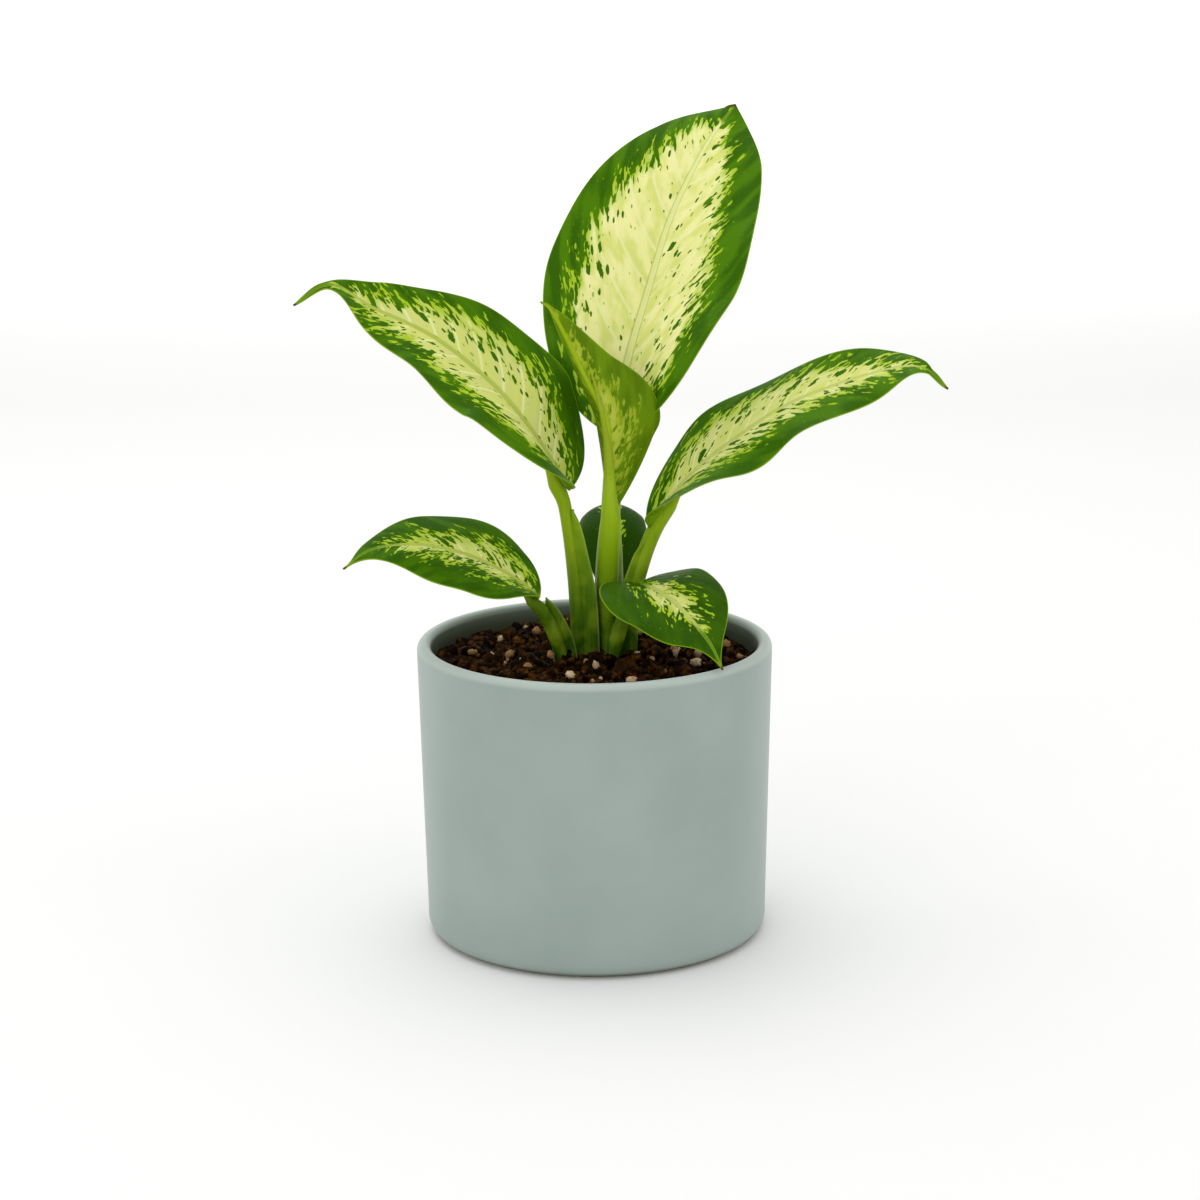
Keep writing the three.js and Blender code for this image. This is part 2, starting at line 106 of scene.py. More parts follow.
def coat(tree, colour, over, value, limits, cover=(0, 1), change="SMOOTHSTEP"):
    """One colour laid over another: while the value goes from one limit to the other, the part that
    is covered goes from the first number of cover to the second."""
    share = {0: value, 1: limits[0], 2: limits[1], 3: cover[0], 4: cover[1]}
    share = add(tree, "MapRange", share, interpolation_type=change)[0]
    return add(tree, "Mix", {0: share, 6: colour, 7: over}, **COLOURS)[2]


def new_material(name):
    """An empty material and its node tree."""
    material = bpy.data.materials.new(name)
    material.use_nodes = True
    material.node_tree.nodes.clear()
    return material, material.node_tree


def surface(tree, colour, roughness, height, strength, distance, more):
    """Ends a graph: a shader with this colour and roughness whose relief is up to so many
    millimetres high where the value height is largest, and the material's output."""
    bump = {"Height": height, "Strength": strength, "Distance": distance * MM}
    look = {"Base Color": colour, "Roughness": roughness, "Normal": add(tree, "Bump", bump)[0]}
    shader = add(tree, "BsdfPrincipled", {**look, **more})
    add(tree, "OutputMaterial", {"Surface": shader[0]})


print("white in linear light:", linear("#ffffff")[:3])

# %% [markdown]
# ## Turned surfaces
# The floor, the pot and the mix in it are round, so each is a surface of turning: its height
# depends only on the distance from the middle. Its points are the rings of a grid, which is worked
# out as one array, and the same list of faces fits every grid.

# %% Turn a surface out of a profile
def grid_faces(rows, columns):
    """Quads of a grid whose points run row by row; its last column is joined to its first."""
    row, column = np.meshgrid(np.arange(rows - 1), np.arange(columns), indexing="ij")
    here = row * columns + column
    beside = row * columns + (column + 1) % columns
    return np.stack([here, beside, beside + columns, here + columns], -1).reshape(-1, 4)


def turned(profile, sectors):
    """Points of a surface of turning: (r cos a, r sin a, z) for each (r, z) and each angle a."""
    angle = np.linspace(0, 2 * np.pi, sectors, endpoint=False)
    r, z = profile[:, :1], profile[:, 1:]
    return np.stack([r * np.cos(angle), r * np.sin(angle), z + 0 * angle], -1)


def turned_faces(rows, sectors):
    """The quads of a turned surface and two discs that close it at its first and last ring."""
    first = list(range(sectors))[::-1]
    last = [(rows - 1) * sectors + k for k in range(sectors)]
    return grid_faces(rows, sectors).tolist() + [first, last]


def new_piece(name, points, faces, material):
    """A mesh object at the origin from points in millimetres and a list of faces."""
    mesh = bpy.data.meshes.new(name)
    mesh.from_pydata(points.reshape(-1, 3) * MM, [], [list(map(int, face)) for face in faces])
    mesh.shade_smooth()
    mesh.materials.append(material)
    piece = bpy.data.objects.new(name, mesh)
    bpy.context.collection.objects.link(piece)
    return piece


print("a grid of 3 rings of 4 points has", len(grid_faces(3, 4)), "faces")

# %% [markdown]
# ## Floor and light
# The plant is shown as in a photo studio: a pale floor that rises into a pale wall all round, so no
# horizon shows, a large soft light overhead, which draws the grey sheen along the tops of the
# leaves, and a weaker one in front. Another light brightens the wall behind.

# %% Build the studio
FLOOR_EDGE, RISE_START, RISE_HEIGHT, FLOOR_SECTORS = 4200, 2400, 900, 96

paper, tree = new_material("matt_white_background_paper")
shader = add(tree, "BsdfPrincipled", {"Base Color": linear("#fafaf9"), "Roughness": 0.9})
add(tree, "OutputMaterial", {"Surface": shader[0]})

distance = np.concatenate([[1], np.linspace(400, FLOOR_EDGE, 60)])
climb = np.clip((distance - RISE_START) / (FLOOR_EDGE - RISE_START), 0, 1)
floor_points = turned(np.stack([distance, RISE_HEIGHT * climb**2], -1), FLOOR_SECTORS)
floor = new_piece("floor", floor_points, grid_faces(len(distance), FLOOR_SECTORS), paper)


def softbox(name, place, size, power, target=(0, 0, 120)):
    """A square light that faces a point of the plant; both are in millimetres."""
    light = bpy.data.lights.new(name, "AREA")
    light.size = size * MM
    light.energy = power
    lamp = bpy.data.objects.new(name, light)
    bpy.context.collection.objects.link(lamp)
    lamp.location = np.array(place) * MM
    aim = Vector(np.subtract(target, place))
    lamp.rotation_euler = aim.to_track_quat("-Z", "Y").to_euler()


softbox("overhead", (-200, 500, 1500), 1400, 7.5)
softbox("front", (-700, -1500, 900), 1200, 4)
softbox("side", (1300, -500, 700), 900, 1.2)
softbox("backdrop", (0, 2300, 1700), 1600, 26, (0, 4200, 300))
sky = bpy.data.worlds.new("studio_air")
sky.use_nodes = True
sky.node_tree.nodes["Background"].inputs["Color"].default_value = linear("#ffffff")
sky.node_tree.nodes["Background"].inputs["Strength"].default_value = 0.78
bpy.context.scene.world = sky

# %% [markdown]
# ## The pot
# The pot was thrown or slip-cast, so it is round and can be turned like the floor. Its profile runs
# from the middle of the base out over the rounded foot, up the wall, over the rim and down inside.
# The measured pot has 48 flat sides; 240 make its outline a true curve.

# %% Turn the pot
POT_HEIGHT, RIM_RADIUS, BASE_RADIUS, POT_SECTORS = 101, 60, 58, 240
FOOT_ROUND, WALL, RIM_ROUND, POT_FLOOR, INNER_ROUND = 5.5, 4.8, 2.3, 6, 9
INNER_RADIUS = RIM_RADIUS - WALL


def arc(centre, radius, start, end, steps):
    """Points on a circle from one angle to another, in degrees."""
    angle = np.radians(np.linspace(start, end, steps))
    return np.add(centre, radius * np.stack([np.cos(angle), np.sin(angle)], -1))


rim_middle = POT_HEIGHT - RIM_ROUND
profile = np.concatenate([
    [[0.5, 0], [20, 0], [40, 0], [BASE_RADIUS - FOOT_ROUND - 1, 0]],
    arc((BASE_RADIUS - FOOT_ROUND, FOOT_ROUND), FOOT_ROUND, -90, 0, 12),
    np.linspace([BASE_RADIUS, FOOT_ROUND + 2], [RIM_RADIUS, rim_middle - 2], 24),
    arc((RIM_RADIUS - RIM_ROUND, rim_middle), RIM_ROUND, 0, 90, 9),
    arc((INNER_RADIUS + RIM_ROUND, rim_middle), RIM_ROUND, 90, 180, 9),
    np.linspace([INNER_RADIUS, rim_middle - 2], [INNER_RADIUS, POT_FLOOR + INNER_ROUND], 20),
    arc((INNER_RADIUS - INNER_ROUND, POT_FLOOR + INNER_ROUND), INNER_ROUND, 0, -90, 8),
    [[20, POT_FLOOR], [0.5, POT_FLOOR]],
])
pot_points = turned(profile, POT_SECTORS)
pot_faces = turned_faces(len(profile), POT_SECTORS)
print("pot profile:", len(profile), "points")

# %% [markdown]
# ## The glaze
# The pot is stoneware, a dense clay, under a satin matt glaze in pale grey-green. Such a glaze
# scatters light softly: no sharp reflections, only a broad light band on the rim. It isn't one flat
# colour, because it flows a little in the kiln: cloudy patches a few centimetres wide differ by a
# few per cent. The rim's crest is painted paler, partly because the glaze runs thin there and the
# paler body shows through, partly as a painted highlight. The inner wall just above the mix is
# painted darker, as painted shade inside the pot. A bare ring of buff clay is left under the foot,
# or the pot would have stuck to the kiln shelf.

# %% Mix the glaze
CLOUD_SIZE, GRAIN_SIZE = 38, 1.1
RIM_THIN_AND_HIGHLIT, RIM_BARE = 98.2, 100  # heights
INNER_WALL, INNER_LIP, SHADED_BELOW = 55.6, 57.2, 95.5  # two distances from the axis, a height
CLAY_BELOW, GLAZED_ABOVE = 0.2, 0.6

glaze, tree = new_material("satin_matt_glaze_on_stoneware")
place = add(tree, "TexCoord")["Object"]
height = add(tree, "SeparateXYZ", {0: place})[2]
clouds = add(tree, "TexNoise", {"Vector": place, "Scale": 1 / (CLOUD_SIZE * MM), "Detail": 3})[0]
grain = add(tree, "TexNoise", {"Vector": place, "Scale": 1 / (GRAIN_SIZE * MM), "Detail": 2})[0]
colour = coat(tree, linear("#91a19a"), linear("#9caba4"), clouds, (0.3, 0.7), change="LINEAR")
# paler rim crest: partly thin glaze showing the body, partly a painted highlight
colour = coat(tree, colour, linear("#bcc8c0"), height, (RIM_THIN_AND_HIGHLIT * MM, RIM_BARE * MM), (0, 0.6))
from_axis = add(tree, "VectorMath", {0: place, 1: (1, 1, 0)}, operation="MULTIPLY")["Vector"]
from_axis = add(tree, "VectorMath", {0: from_axis}, operation="LENGTH")["Value"]
within = add(tree, "MapRange", {
    0: from_axis, 1: INNER_WALL * MM, 2: INNER_LIP * MM, 3: 1, 4: 0,
})[0]
# painted shade: the inner wall is painted darker, fully below 95.5 mm and by 0.6 at the top
painted_shade = add(tree, "MapRange", {0: height, 1: SHADED_BELOW * MM, 2: RIM_BARE * MM, 3: 1, 4: 0.6})[0]
painted_shade = add(tree, "Math", {0: painted_shade, 1: within}, operation="MULTIPLY")[0]
colour = add(tree, "Mix", {0: painted_shade, 6: colour, 7: linear("#565c4c")}, **COLOURS)[2]
colour = coat(tree, colour, linear("#c9b99c"), height, (CLAY_BELOW * MM, GLAZED_ABOVE * MM), (1, 0))
gloss = add(tree, "MapRange", {0: clouds, 1: 0.3, 2: 0.7, 3: 0.34, 4: 0.42})[0]
surface(tree, colour, gloss, grain, 0.12, 0.15, {"IOR": 1.5})

pot = new_piece("glazed_pot", pot_points, pot_faces, glaze)
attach(pot, "root")
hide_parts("pot")
print("pot:", len(pot.data.polygons), "faces")

# %% [markdown]
# ## The shape of a leaf
# A leaf blade grows as a thin sheet about a midrib. Its shape can be said with few values: the path
# of the midrib through the air, how wide the blade is along it, how steeply each half folds up from
# the midrib, and how it curls on towards the margin. With t running from base to tip and u from -1
# at the left margin to 1 at the right, a leaf is a function of two parameters, and any number of
# points on it can be worked out at once. The values are those of the measured model, apart from a
# few that were moved by a millimetre or less to bring the picture nearer.
#
# In a list of three, the values hold at the base, half-way and at the tip, with angles in degrees.
# Roll turns the blade about its midrib. The blade is widest at widest and falls off by taper; drip
# is the part of the midrib that only the narrow tip takes, and tail how wide that is. Lobe says how
# far the base reaches back in ears, and cup by how many degrees more a half folds up there. Wave
# is the margin's ripple: its height, how many waves there are, and where they start.
#
# The cream lists say how far the pale middle reaches, as pairs of t and u for each half. Paleness
# goes from yellow-green cream to white cream, age darkens the green, and grain scales the pattern.

# %% The seven leaves
def half(share, fold, curl, **special):
    """One half of a sheet: its share of the half width, its fold, its curl and what only it has."""
    return {"share": share, "fold": fold, "curl": curl, **special}


LEAVES = {}
LEAVES["top"] = {
    "midrib": [[8, 10, 170], [12.5, 15.5, 193.5], [19.5, 24.5, 216], [27.5, 32, 240],
        [39.5, 39.5, 263], [49.5, 46.5, 276]],
    "face": [0, -1, 0.3], "roll": [-21, -17, -7],
    "halfWidth": 37.5, "widest": 0.44, "taper": 0.95, "lobe": 2.6, "drip": 0, "tail": 1,
    "right": half(1.05, [30, 24, 13], [1, 1, 1]),
    "left": half(0.97, [14, 12, -30], [-12, -13, -17]),
    "wave": [0.8, 3.5, 0.4],
    "paleness": 1.0, "age": 0, "wingGreen": 0.1,
    "creamLeft": [[0, 0.5], [0.1, 0.68], [0.35, 0.72], [0.6, 0.7], [0.8, 0.58], [0.89, 0.36],
        [0.93, -0.3]],
    "creamRight": [[0, 0.5], [0.1, 0.66], [0.35, 0.68], [0.6, 0.6], [0.8, 0.48], [0.88, 0.28],
        [0.92, -0.3]],
    "stalk": {
        "path": [[4.5, 10, 74], [4.8, 10, 100], [5.4, 9.8, 130], [6.3, 10.2, 150],
            [7.6, 12.6, 166], [9.9, 15, 178]],
        "face": [0, -1, 0], "radii": [3.4, 3.4, 3.3, 3.2, 2.8, 1.7],
    },
    "sheath": {
        "path": [[4.5, 13, 91], [4.9, 12.9, 110], [5.4, 12.5, 130], [6, 12.2, 152]],
        "face": [0, -1, 0], "halfWidth": 12.5,
        "right": half(1, [8, 8, 8], [128, 128, 124]),
        "left": half(1, [8, 8, 8], [128, 128, 124]),
    },
}
LEAVES["left"] = {
    "midrib": [[-8.6, -1.2, 153.2], [-22.5, -5, 176], [-35, -3.5, 190.5], [-52.5, -5, 205],
        [-71.5, -7.5, 215], [-85, -12, 223.5], [-96.5, -16, 217.5]],
    "face": [0.4, -0.6, 0.7], "roll": [12, -2, 2],
    "halfWidth": 27.5, "widest": 0.28, "taper": 1.3, "lobe": 3.6, "drip": 0.12, "tail": 4,
    "right": half(0.93, [21, 18, 16], [-11, -13, -14]),
    "left": half(1.03, [37, 17, 20], [-6, -12, -11], cup=16, lobe=0.6),
    "wave": [0.9, 4, 2.2],
    "paleness": 0.45, "age": 0.15,
    "creamLeft": [[0, 0.36], [0.1, 0.52], [0.3, 0.61], [0.55, 0.57], [0.72, 0.45],
        [0.83, 0.1], [0.88, -0.4]],
    "creamRight": [[0, 0.4], [0.1, 0.6], [0.3, 0.66], [0.55, 0.62], [0.72, 0.5],
        [0.82, 0.2], [0.87, -0.3]],
    "stalk": {
        "path": [[-4.6, 1.5, 74], [-4.6, 1.5, 98], [-5.2, 1.5, 115], [-6.9, 1.4, 131],
            [-8.9, 1, 144], [-10.1, 0.7, 149.5], [-12.5, 0.2, 155], [-17, -2.6, 166]],
        "face": [1, -0.2, 0.3], "radii": [3.5, 3.5, 3.3, 2.8, 2.4, 2.5, 2.7, 1.3],
    },
    "sheath": {
        "path": [[-7.4, 1.5, 91], [-7.5, 1.5, 104], [-7.8, 1.5, 116], [-8.2, 0.9, 130],
            [-6.8, -1, 146]],
        "face": [1, -0.2, 0], "halfWidth": 11,
        "right": half(0.75, [52, 52, 66], [30, 30, 10]),
        "left": half(0.94, [56, 56, 60], [40, 40, 20]),
    },
}
LEAVES["right"] = {
    "midrib": [[18.6, -1.4, 140], [34, -2.5, 158.5], [48, -3, 170], [66, -5, 182],
        [91, -9.5, 192], [107, -13.5, 195], [116, -17.5, 188.5]],
    "face": [-0.35, -0.38, 0.88], "roll": [-2, 0, -2],
    "halfWidth": 20.3, "widest": 0.4, "taper": 1.02, "lobe": 1.1, "drip": 0.1, "tail": 3.8,
    "right": half(1.09, [33, 7, 21], [-10, -17, -12], cup=50),
    "left": half(0.98, [23, 12, 19], [-9, -13, -11]),
    "wave": [1.6, 3, 3.4],
    "paleness": 0.65, "age": 0.1,
    "creamLeft": [[0, 0.3], [0.08, 0.6], [0.3, 0.68], [0.6, 0.64], [0.78, 0.5], [0.87, 0.1],
        [0.9, -0.2]],
    "creamRight": [[0, 0.3], [0.1, 0.5], [0.3, 0.5], [0.55, 0.42], [0.75, 0.4], [0.85, 0.1],
        [0.9, -0.2]],
    "stalk": {
        "path": [[11.6, 0.5, 74], [11.2, 0.5, 98], [12.5, 0.7, 114], [16, 0.5, 127.5],
            [20.2, 0, 138.3], [25, -1, 146.6], [30.3, -1.6, 153.2]],
        "face": [-1, -0.2, 0.3], "radii": [3.4, 3.4, 3.3, 3, 2.8, 2.7, 1.3],
    },
    "sheath": {
        "path": [[14, 0.5, 91], [14.1, 0.5, 100], [15, 0.7, 112], [16.4, 0.3, 124],
            [17, -1.4, 136]],
        "face": [-1, -0.2, 0], "halfWidth": 9.5,
        "right": half(0.9, [56, 56, 60], [40, 40, 20]),
        "left": half(0.65, [52, 52, 66], [30, 30, 10]),
    },
}
LEAVES["young"] = {
    "midrib": [[5.5, 0, 142.5], [5, -6.5, 168.5], [4, -8.5, 179], [-2.5, -11, 193],
        [-12, -12, 213], [-16.5, -12, 217.5]],
    "face": [0.1, 1, 0.2], "roll": [-3, 0, 6],
    "halfWidth": 14.1, "widest": 0.39, "taper": 1.65, "ribWidth": 1.4,
    "lobe": 0, "drip": 0.12, "tail": 2,
    "right": half(0.63, [51, 45, 38], [22, 20, 18]),
    "left": half(1.37, [14, 13, 15], [30, 30, 31]),
    "wave": [0.3, 2, 0],
    "paleness": 0.3, "age": 0, "grain": 0.8,
    "creamLeft": [[0, 0.3], [0.15, 0.48], [0.35, 0.42], [0.55, 0.26], [0.7, 0.18],
        [0.85, 0.05], [1, -0.3]],
    "creamRight": [[0, 0.3], [0.3, 0.2], [0.6, 0.2], [1, -0.2]],
    "stalk": {
        "path": [[4.4, 3, 88.4], [4.4, 3, 104], [4.5, 2.4, 120], [5.1, 0.5, 133],
            [5.8, -2, 142.5], [5.6, -4, 151], [5.4, -5.5, 160], [4.9, -7.2, 168.5],
            [3.6, -9.2, 178], [1.4, -11.1, 188], [-0.9, -12.4, 197]],
        "face": [0, 1, 0], "radii": [3.3, 3.5, 3.7, 3.7, 3.4, 2.4, 1.8, 1.3, 0.9, 0.65, 0.4],
    },
}
LEAVES["lowleft"] = {
    "midrib": [[-19, -9, 118], [-28, -9, 125], [-42.5, -11.5, 133], [-58.5, -16, 137.5],
        [-73, -20.5, 137], [-82, -26, 132]],
    "face": [0.1, -0.4, 0.9], "roll": [2, -3, 2],
    "halfWidth": 18.6, "widest": 0.39, "taper": 2, "lobe": 2.7, "drip": 0, "tail": 1.9,
    "right": half(0.97, [21, 12, 7], [-12, -17, -18]),
    "left": half(1.03, [33, 5, 11], [-11, -18, -17], cup=40),
    "wave": [0.7, 3, 1],
    "paleness": 0.45, "age": 0.3, "grain": 0.78,
    "creamLeft": [[0, 0.26], [0.1, 0.4], [0.3, 0.36], [0.55, 0.32], [0.7, 0.24], [0.8, -0.05],
        [0.86, -0.5]],
    "creamRight": [[0, 0.38], [0.1, 0.56], [0.25, 0.52], [0.45, 0.4], [0.62, 0.34],
        [0.76, 0.04], [0.84, -0.5]],
    "stalk": {
        "path": [[-10.8, -4.5, 74], [-10.8, -4.5, 94], [-13, -6, 103.5], [-16.8, -7.3, 112],
            [-20.2, -7.7, 115.8], [-23.8, -8, 119]],
        "face": [0.7, 0.1, 0.7], "radii": [2.7, 2.7, 2.6, 2.5, 2.2, 1.3],
    },
    "sheath": {
        "path": [[-9, -4.6, 91], [-9.2, -4.8, 97], [-10.8, -5.4, 103.5], [-13.3, -6, 110.5],
            [-16.1, -6.2, 117]],
        "face": [-0.2, -0.95, 0.2], "halfWidth": 3.4,
        "right": half(1, [4, 4, 4], [-30, -30, -20]),
        "left": half(1, [4, 4, 4], [-30, -30, -20]),
    },
}
LEAVES["front"] = {
    "midrib": [[16, -7.5, 121.5], [21.5, -17.5, 121], [28, -26, 118], [34, -35, 113],
        [38, -40.5, 108.5], [41.5, -45, 101.8]],
    "face": [0.1, -0.4, 0.9], "roll": [-3, 6, 0],
    "halfWidth": 19.5, "widest": 0.28, "taper": 1.65, "lobe": 7.2, "drip": 0, "tail": 2,
    "right": half(1.05, [18, 8, 9], [-12, -16, -16]),
    "left": half(0.95, [11, 12, 7], [-14, -13, -16]),
    "wave": [0.6, 2.5, 0.6],
    "paleness": 0.6, "age": 0.6, "grain": 0.85,
    "creamLeft": [[0, 0], [0.06, 0.2], [0.2, 0.36], [0.4, 0.34], [0.56, 0.24], [0.66, 0.02],
        [0.7, -0.5]],
    "creamRight": [[0, -0.1], [0.06, 0.1], [0.2, 0.3], [0.4, 0.32], [0.56, 0.18], [0.64, -0.08],
        [0.7, -0.5]],
    "stalk": {
        "path": [[5.6, -7.4, 74], [5.6, -7.4, 95], [7.8, -8, 104], [11, -7.9, 112],
            [15, -8.2, 117.4], [18.4, -12, 118.8]],
        "face": [0, 0.9, 0.4], "radii": [2.6, 2.6, 2.6, 2.5, 2.1, 1.3],
    },
}
LEAVES["back"] = {
    "midrib": [[6.8, 18.5, 111], [6.9, 24, 125], [6.7, 32, 134.6], [6, 43, 138.3],
        [5, 55, 133.8], [4, 66, 122.5]],
    "face": [0, -0.2, 1], "roll": [0, 0, 0],
    "halfWidth": 13.2, "widest": 0.45, "taper": 1, "lobe": 2, "drip": 0, "tail": 2,
    "right": half(1, [4, -5, -4], [-24, -40, -36]),
    "left": half(1, [4, -5, -4], [-24, -40, -36]),
    "wave": [0.6, 3, 2],
    "paleness": 0.2, "age": 1,
    "creamLeft": [[0, -0.2], [0.2, -0.06], [0.5, -0.05], [0.75, -0.15], [0.85, -0.4]],
    "creamRight": [[0, -0.2], [0.2, -0.04], [0.5, -0.05], [0.75, -0.15], [0.85, -0.4]],
    "stalk": {
        "path": [[5, 18.5, 74], [5, 18.5, 92], [5.8, 19.6, 102], [6.5, 21.2, 110],
            [6.5, 22.8, 115.5]],
        "face": [0, -0.9, 0.3], "radii": [2.7, 2.7, 2.6, 2.3, 1.3],
    },
}
print("leaves:", ", ".join(LEAVES))

# %% [markdown]
# ## Curves and widths
# A few points through the air are enough for a smooth midrib or stalk, if a curve of cubics joins
# them. At each point of it, the upper side and the right-hand side complete a small frame.

# %% Curves through the air
def blend(values, t):
    """The parabola in t through three values at 0, a half and 1."""
    first, middle, last = values
    return first * (1 - t) * (1 - 2 * t) + 4 * middle * t * (1 - t) + last * t * (2 * t - 1)


def unit(vectors):
    return vectors / np.linalg.norm(vectors, axis=-1, keepdims=True)


def curve_through(stations, t):
    """Points and directions of a Catmull-Rom curve: between two stations, the cubic that leaves and
    arrives along the line between each one's neighbours."""
    p = np.array(stations, float)
    p = np.concatenate([[2 * p[0] - p[1]], p, [2 * p[-1] - p[-2]]])
    spans = len(stations) - 1
    i = np.clip(np.floor(spans * t).astype(int), 0, spans - 1)
    w = (spans * t - i)[:, None]
    before, start, end, after = p[i], p[i + 1], p[i + 2], p[i + 3]
    leave, arrive = (end - before) / 2, (after - start) / 2
    square = 3 * (end - start) - 2 * leave - arrive
    cube = 2 * (start - end) + leave + arrive
    points = start + leave * w + square * w**2 + cube * w**3
    return points, unit(leave + 2 * square * w + 3 * cube * w**2)


def frame_along(stations, face, roll, t):
    """Point, direction, upper side and right-hand side at each t, rolled about the direction."""
    point, along = curve_through(stations, t)
    face = np.array(face, float)
    up = unit(face - (along @ face)[:, None] * along)
    right = np.cross(along, up)
    turn = np.radians(blend(roll, t))[:, None]
    up = up * np.cos(turn) + right * np.sin(turn)
    return point, along, up, np.cross(along, up)


def blade_half_width(leaf, t):
    """A bump that is highest at widest and falls off by taper, and the narrow tail of the tip, as
    the cube root of the sum of their cubes."""
    widest, taper = leaf["widest"], leaf["taper"]
    s = np.clip(t / (1 - leaf["drip"]), 0, 1)
    bump = (s / widest) ** (taper * widest / (1 - widest)) * ((1 - s) / (1 - widest)) ** taper
    tail = leaf["tail"] * np.sqrt(1 - t) * t
    return np.cbrt((leaf["halfWidth"] * bump) ** 3 + tail**3)


def sheath_half_width(sheath, t):
    """Even from the foot up, then closing to a point."""
    return sheath["halfWidth"] * (1 - t**4) ** 0.8


print("half widths of the tallest leaf:",
      blade_half_width(LEAVES["top"], np.linspace(0, 1, 5)).round(1))

# %% [markdown]
# ## Sheets
# Blades and sheaths are both sheets: each half is an arc that leaves the midrib at its fold angle
# and bends on by its curl angle. Where a sheet is very narrow, as at its tip, both angles shrink.

# %% Bend a sheet
LEAST_HALF_WIDTH, FLAT_BELOW = 0.35, 3.5  # where a half is narrower, its angles shrink
LOBE_AT, LOBE_START = 0.08, 0.012  # parts of the midrib
CUP_FADE = 14  # the higher, the sooner a cup ends
CREASE = 1.2  # how far from the midrib the crease is round


def sheet(form, stations, half_width, t, u):
    """Each half leaves the midrib at its fold angle and bends on by its curl angle on an arc as
    long as the half is wide; the margin ripples, and the lobes at the base reach back.
    Gives points, normals and each point's distance from the midrib along the sheet."""
    point, along, up, right = frame_along(stations, form["face"], form.get("roll", [0, 0, 0]), t)
    t = t[:, None]
    side, across = np.sign(u), np.abs(u)
    halves = (form["left"], form["right"])
    share = np.where(u < 0, *(part["share"] for part in halves))
    fold = np.where(u < 0, *(blend(part["fold"], t) for part in halves))
    cup = np.where(u < 0, *(part.get("cup", 0) for part in halves))
    fold = fold + cup * (1 - t) ** CUP_FADE
    curl = np.where(u < 0, *(blend(part["curl"], t) for part in halves))
    reach = np.maximum(half_width[:, None] * share, LEAST_HALF_WIDTH)
    bend = np.radians(np.minimum(1, reach / FLAT_BELOW))
    fold, curl = fold * bend, curl * bend
    slope = fold + curl * across
    lateral = reach / curl * (np.sin(slope) - np.sin(fold))
    rise = reach / curl * (np.cos(fold) - np.cos(slope))
    high, count, phase = form.get("wave", (0, 0, 0))
    rise += high * np.sin(np.pi * t) * across**3 * np.sin(2 * np.pi * count * t + phase + side)
    back = (t + LOBE_START) / LOBE_AT
    lobe = np.where(u < 0, *(part.get("lobe", form.get("lobe", 0)) for part in halves))
    lobe = lobe * back * np.exp(1 - back) * across**1.5
    up, right, along = up[:, None], right[:, None], along[:, None]
    points = (
        point[:, None]
        + right * (side * lateral)[..., None]
        + up * rise[..., None]
        - along * lobe[..., None]
    )
    rounded = slope * np.minimum(1, across * reach / CREASE)
    normals = up * np.cos(rounded)[..., None] - right * (side * np.sin(rounded))[..., None]
    return points, normals, reach * across


t_check, u_check = np.linspace(0, 1, 5), np.linspace(-1, 1, 5)
top = LEAVES["top"]
middle = sheet(top, top["midrib"], blade_half_width(top, t_check), t_check, u_check)[0]
heights = middle[..., 2]
print("the tallest leaf goes from height", heights.min().round(1), "to", heights.max().round(1))

# %% [markdown]
# ## Skins
# A sheet gets its thickness from rings: one ring of points runs over the upper face and back along
# the lower one, and a row of rings is a closed skin once both ends have a cap. Numbers that the
# colours need later are stored at the points.

# %% Close a row of rings
def ring_across(count):
    """Stations round a thin sheet's section, from the left margin over the upper face and back
    below: u from the cosine, closer at the midrib, and which face a station is on."""
    angle = np.linspace(0, 2 * np.pi, count, endpoint=False)
    c = -np.cos(angle)
    return np.sign(c) * np.abs(c) ** 1.4, np.sin(angle)


def cap_faces(start, count, outward):
    """Closes a ring of an even number of points by facing each point with the one across it."""
    k = np.arange(1, count // 2 - 1)
    quads = np.stack([k, k + 1, count - k - 1, count - k], -1).tolist()
    faces = [*quads, [0, 1, count - 1], [count // 2 - 1, count // 2, count // 2 + 1]]
    return [[start + i for i in (face if outward else face[::-1])] for face in faces]


def closed_faces(rows, count, start=0):
    """The skin of a row of rings, closed at both ends."""
    faces = (grid_faces(rows, count) + start).tolist()
    last = start + (rows - 1) * count
    return faces + cap_faces(start, count, False) + cap_faces(last, count, True)


def store(piece, name, values):
    """Keeps a number or a vector at each point of the mesh, for the material to read."""
    values = np.asarray(values, np.float32)
    kind, field = ("FLOAT_VECTOR", "vector") if values.shape[-1] == 3 else ("FLOAT", "value")
    piece.data.attributes.new(name, kind, "POINT").data.foreach_set(field, values.ravel())


print("a skin of 3 rings of 8 points has", len(closed_faces(3, 8)), "faces")

# %% [markdown]
# ## Blades
# The measured blades are flat between 17 rows of points. A real blade has relief: pairs of side
# veins leave the midrib at about half a right angle, bend towards the tip and lie in shallow
# grooves, and the tissue between them bulges. The midrib is a channel above and a round ridge
# below. All of it is added along the sheet's normal, on a grid fine enough to show it, and the
# margin is rounded off.
#
# Each point also keeps where it is in the leaf's own terms, which the colours need: the place on
# the midrib where its vein starts, its distance from the midrib, how far it is inside the cream
# middle, and its distance from the margin and the tip, all in millimetres.

# %% Build a blade
BLADE_ROWS, BLADE_RING = 150, 128
BLADE_THICKNESS = 0.55
VEIN_SPACING = 6.2
VEIN_LEAN, VEIN_BEND = 0.85, 0.42
VEIN_SLANT = 0.62  # the sine of the usual angle between a side vein and the midrib
QUILT_HEIGHT = 0.3
RIB_HEIGHT, LEAST_RIB = 1.3, 0.25
RIB_GROWS, RIB_SHARE = 0.07, 0.05  # a part of the midrib and one of the half width
CHANNEL_NARROWER = 2.1
LEAST_CREAM_WIDTH = 10
PATTERN_STEP = 97  # puts each leaf in a part of the noise of its own


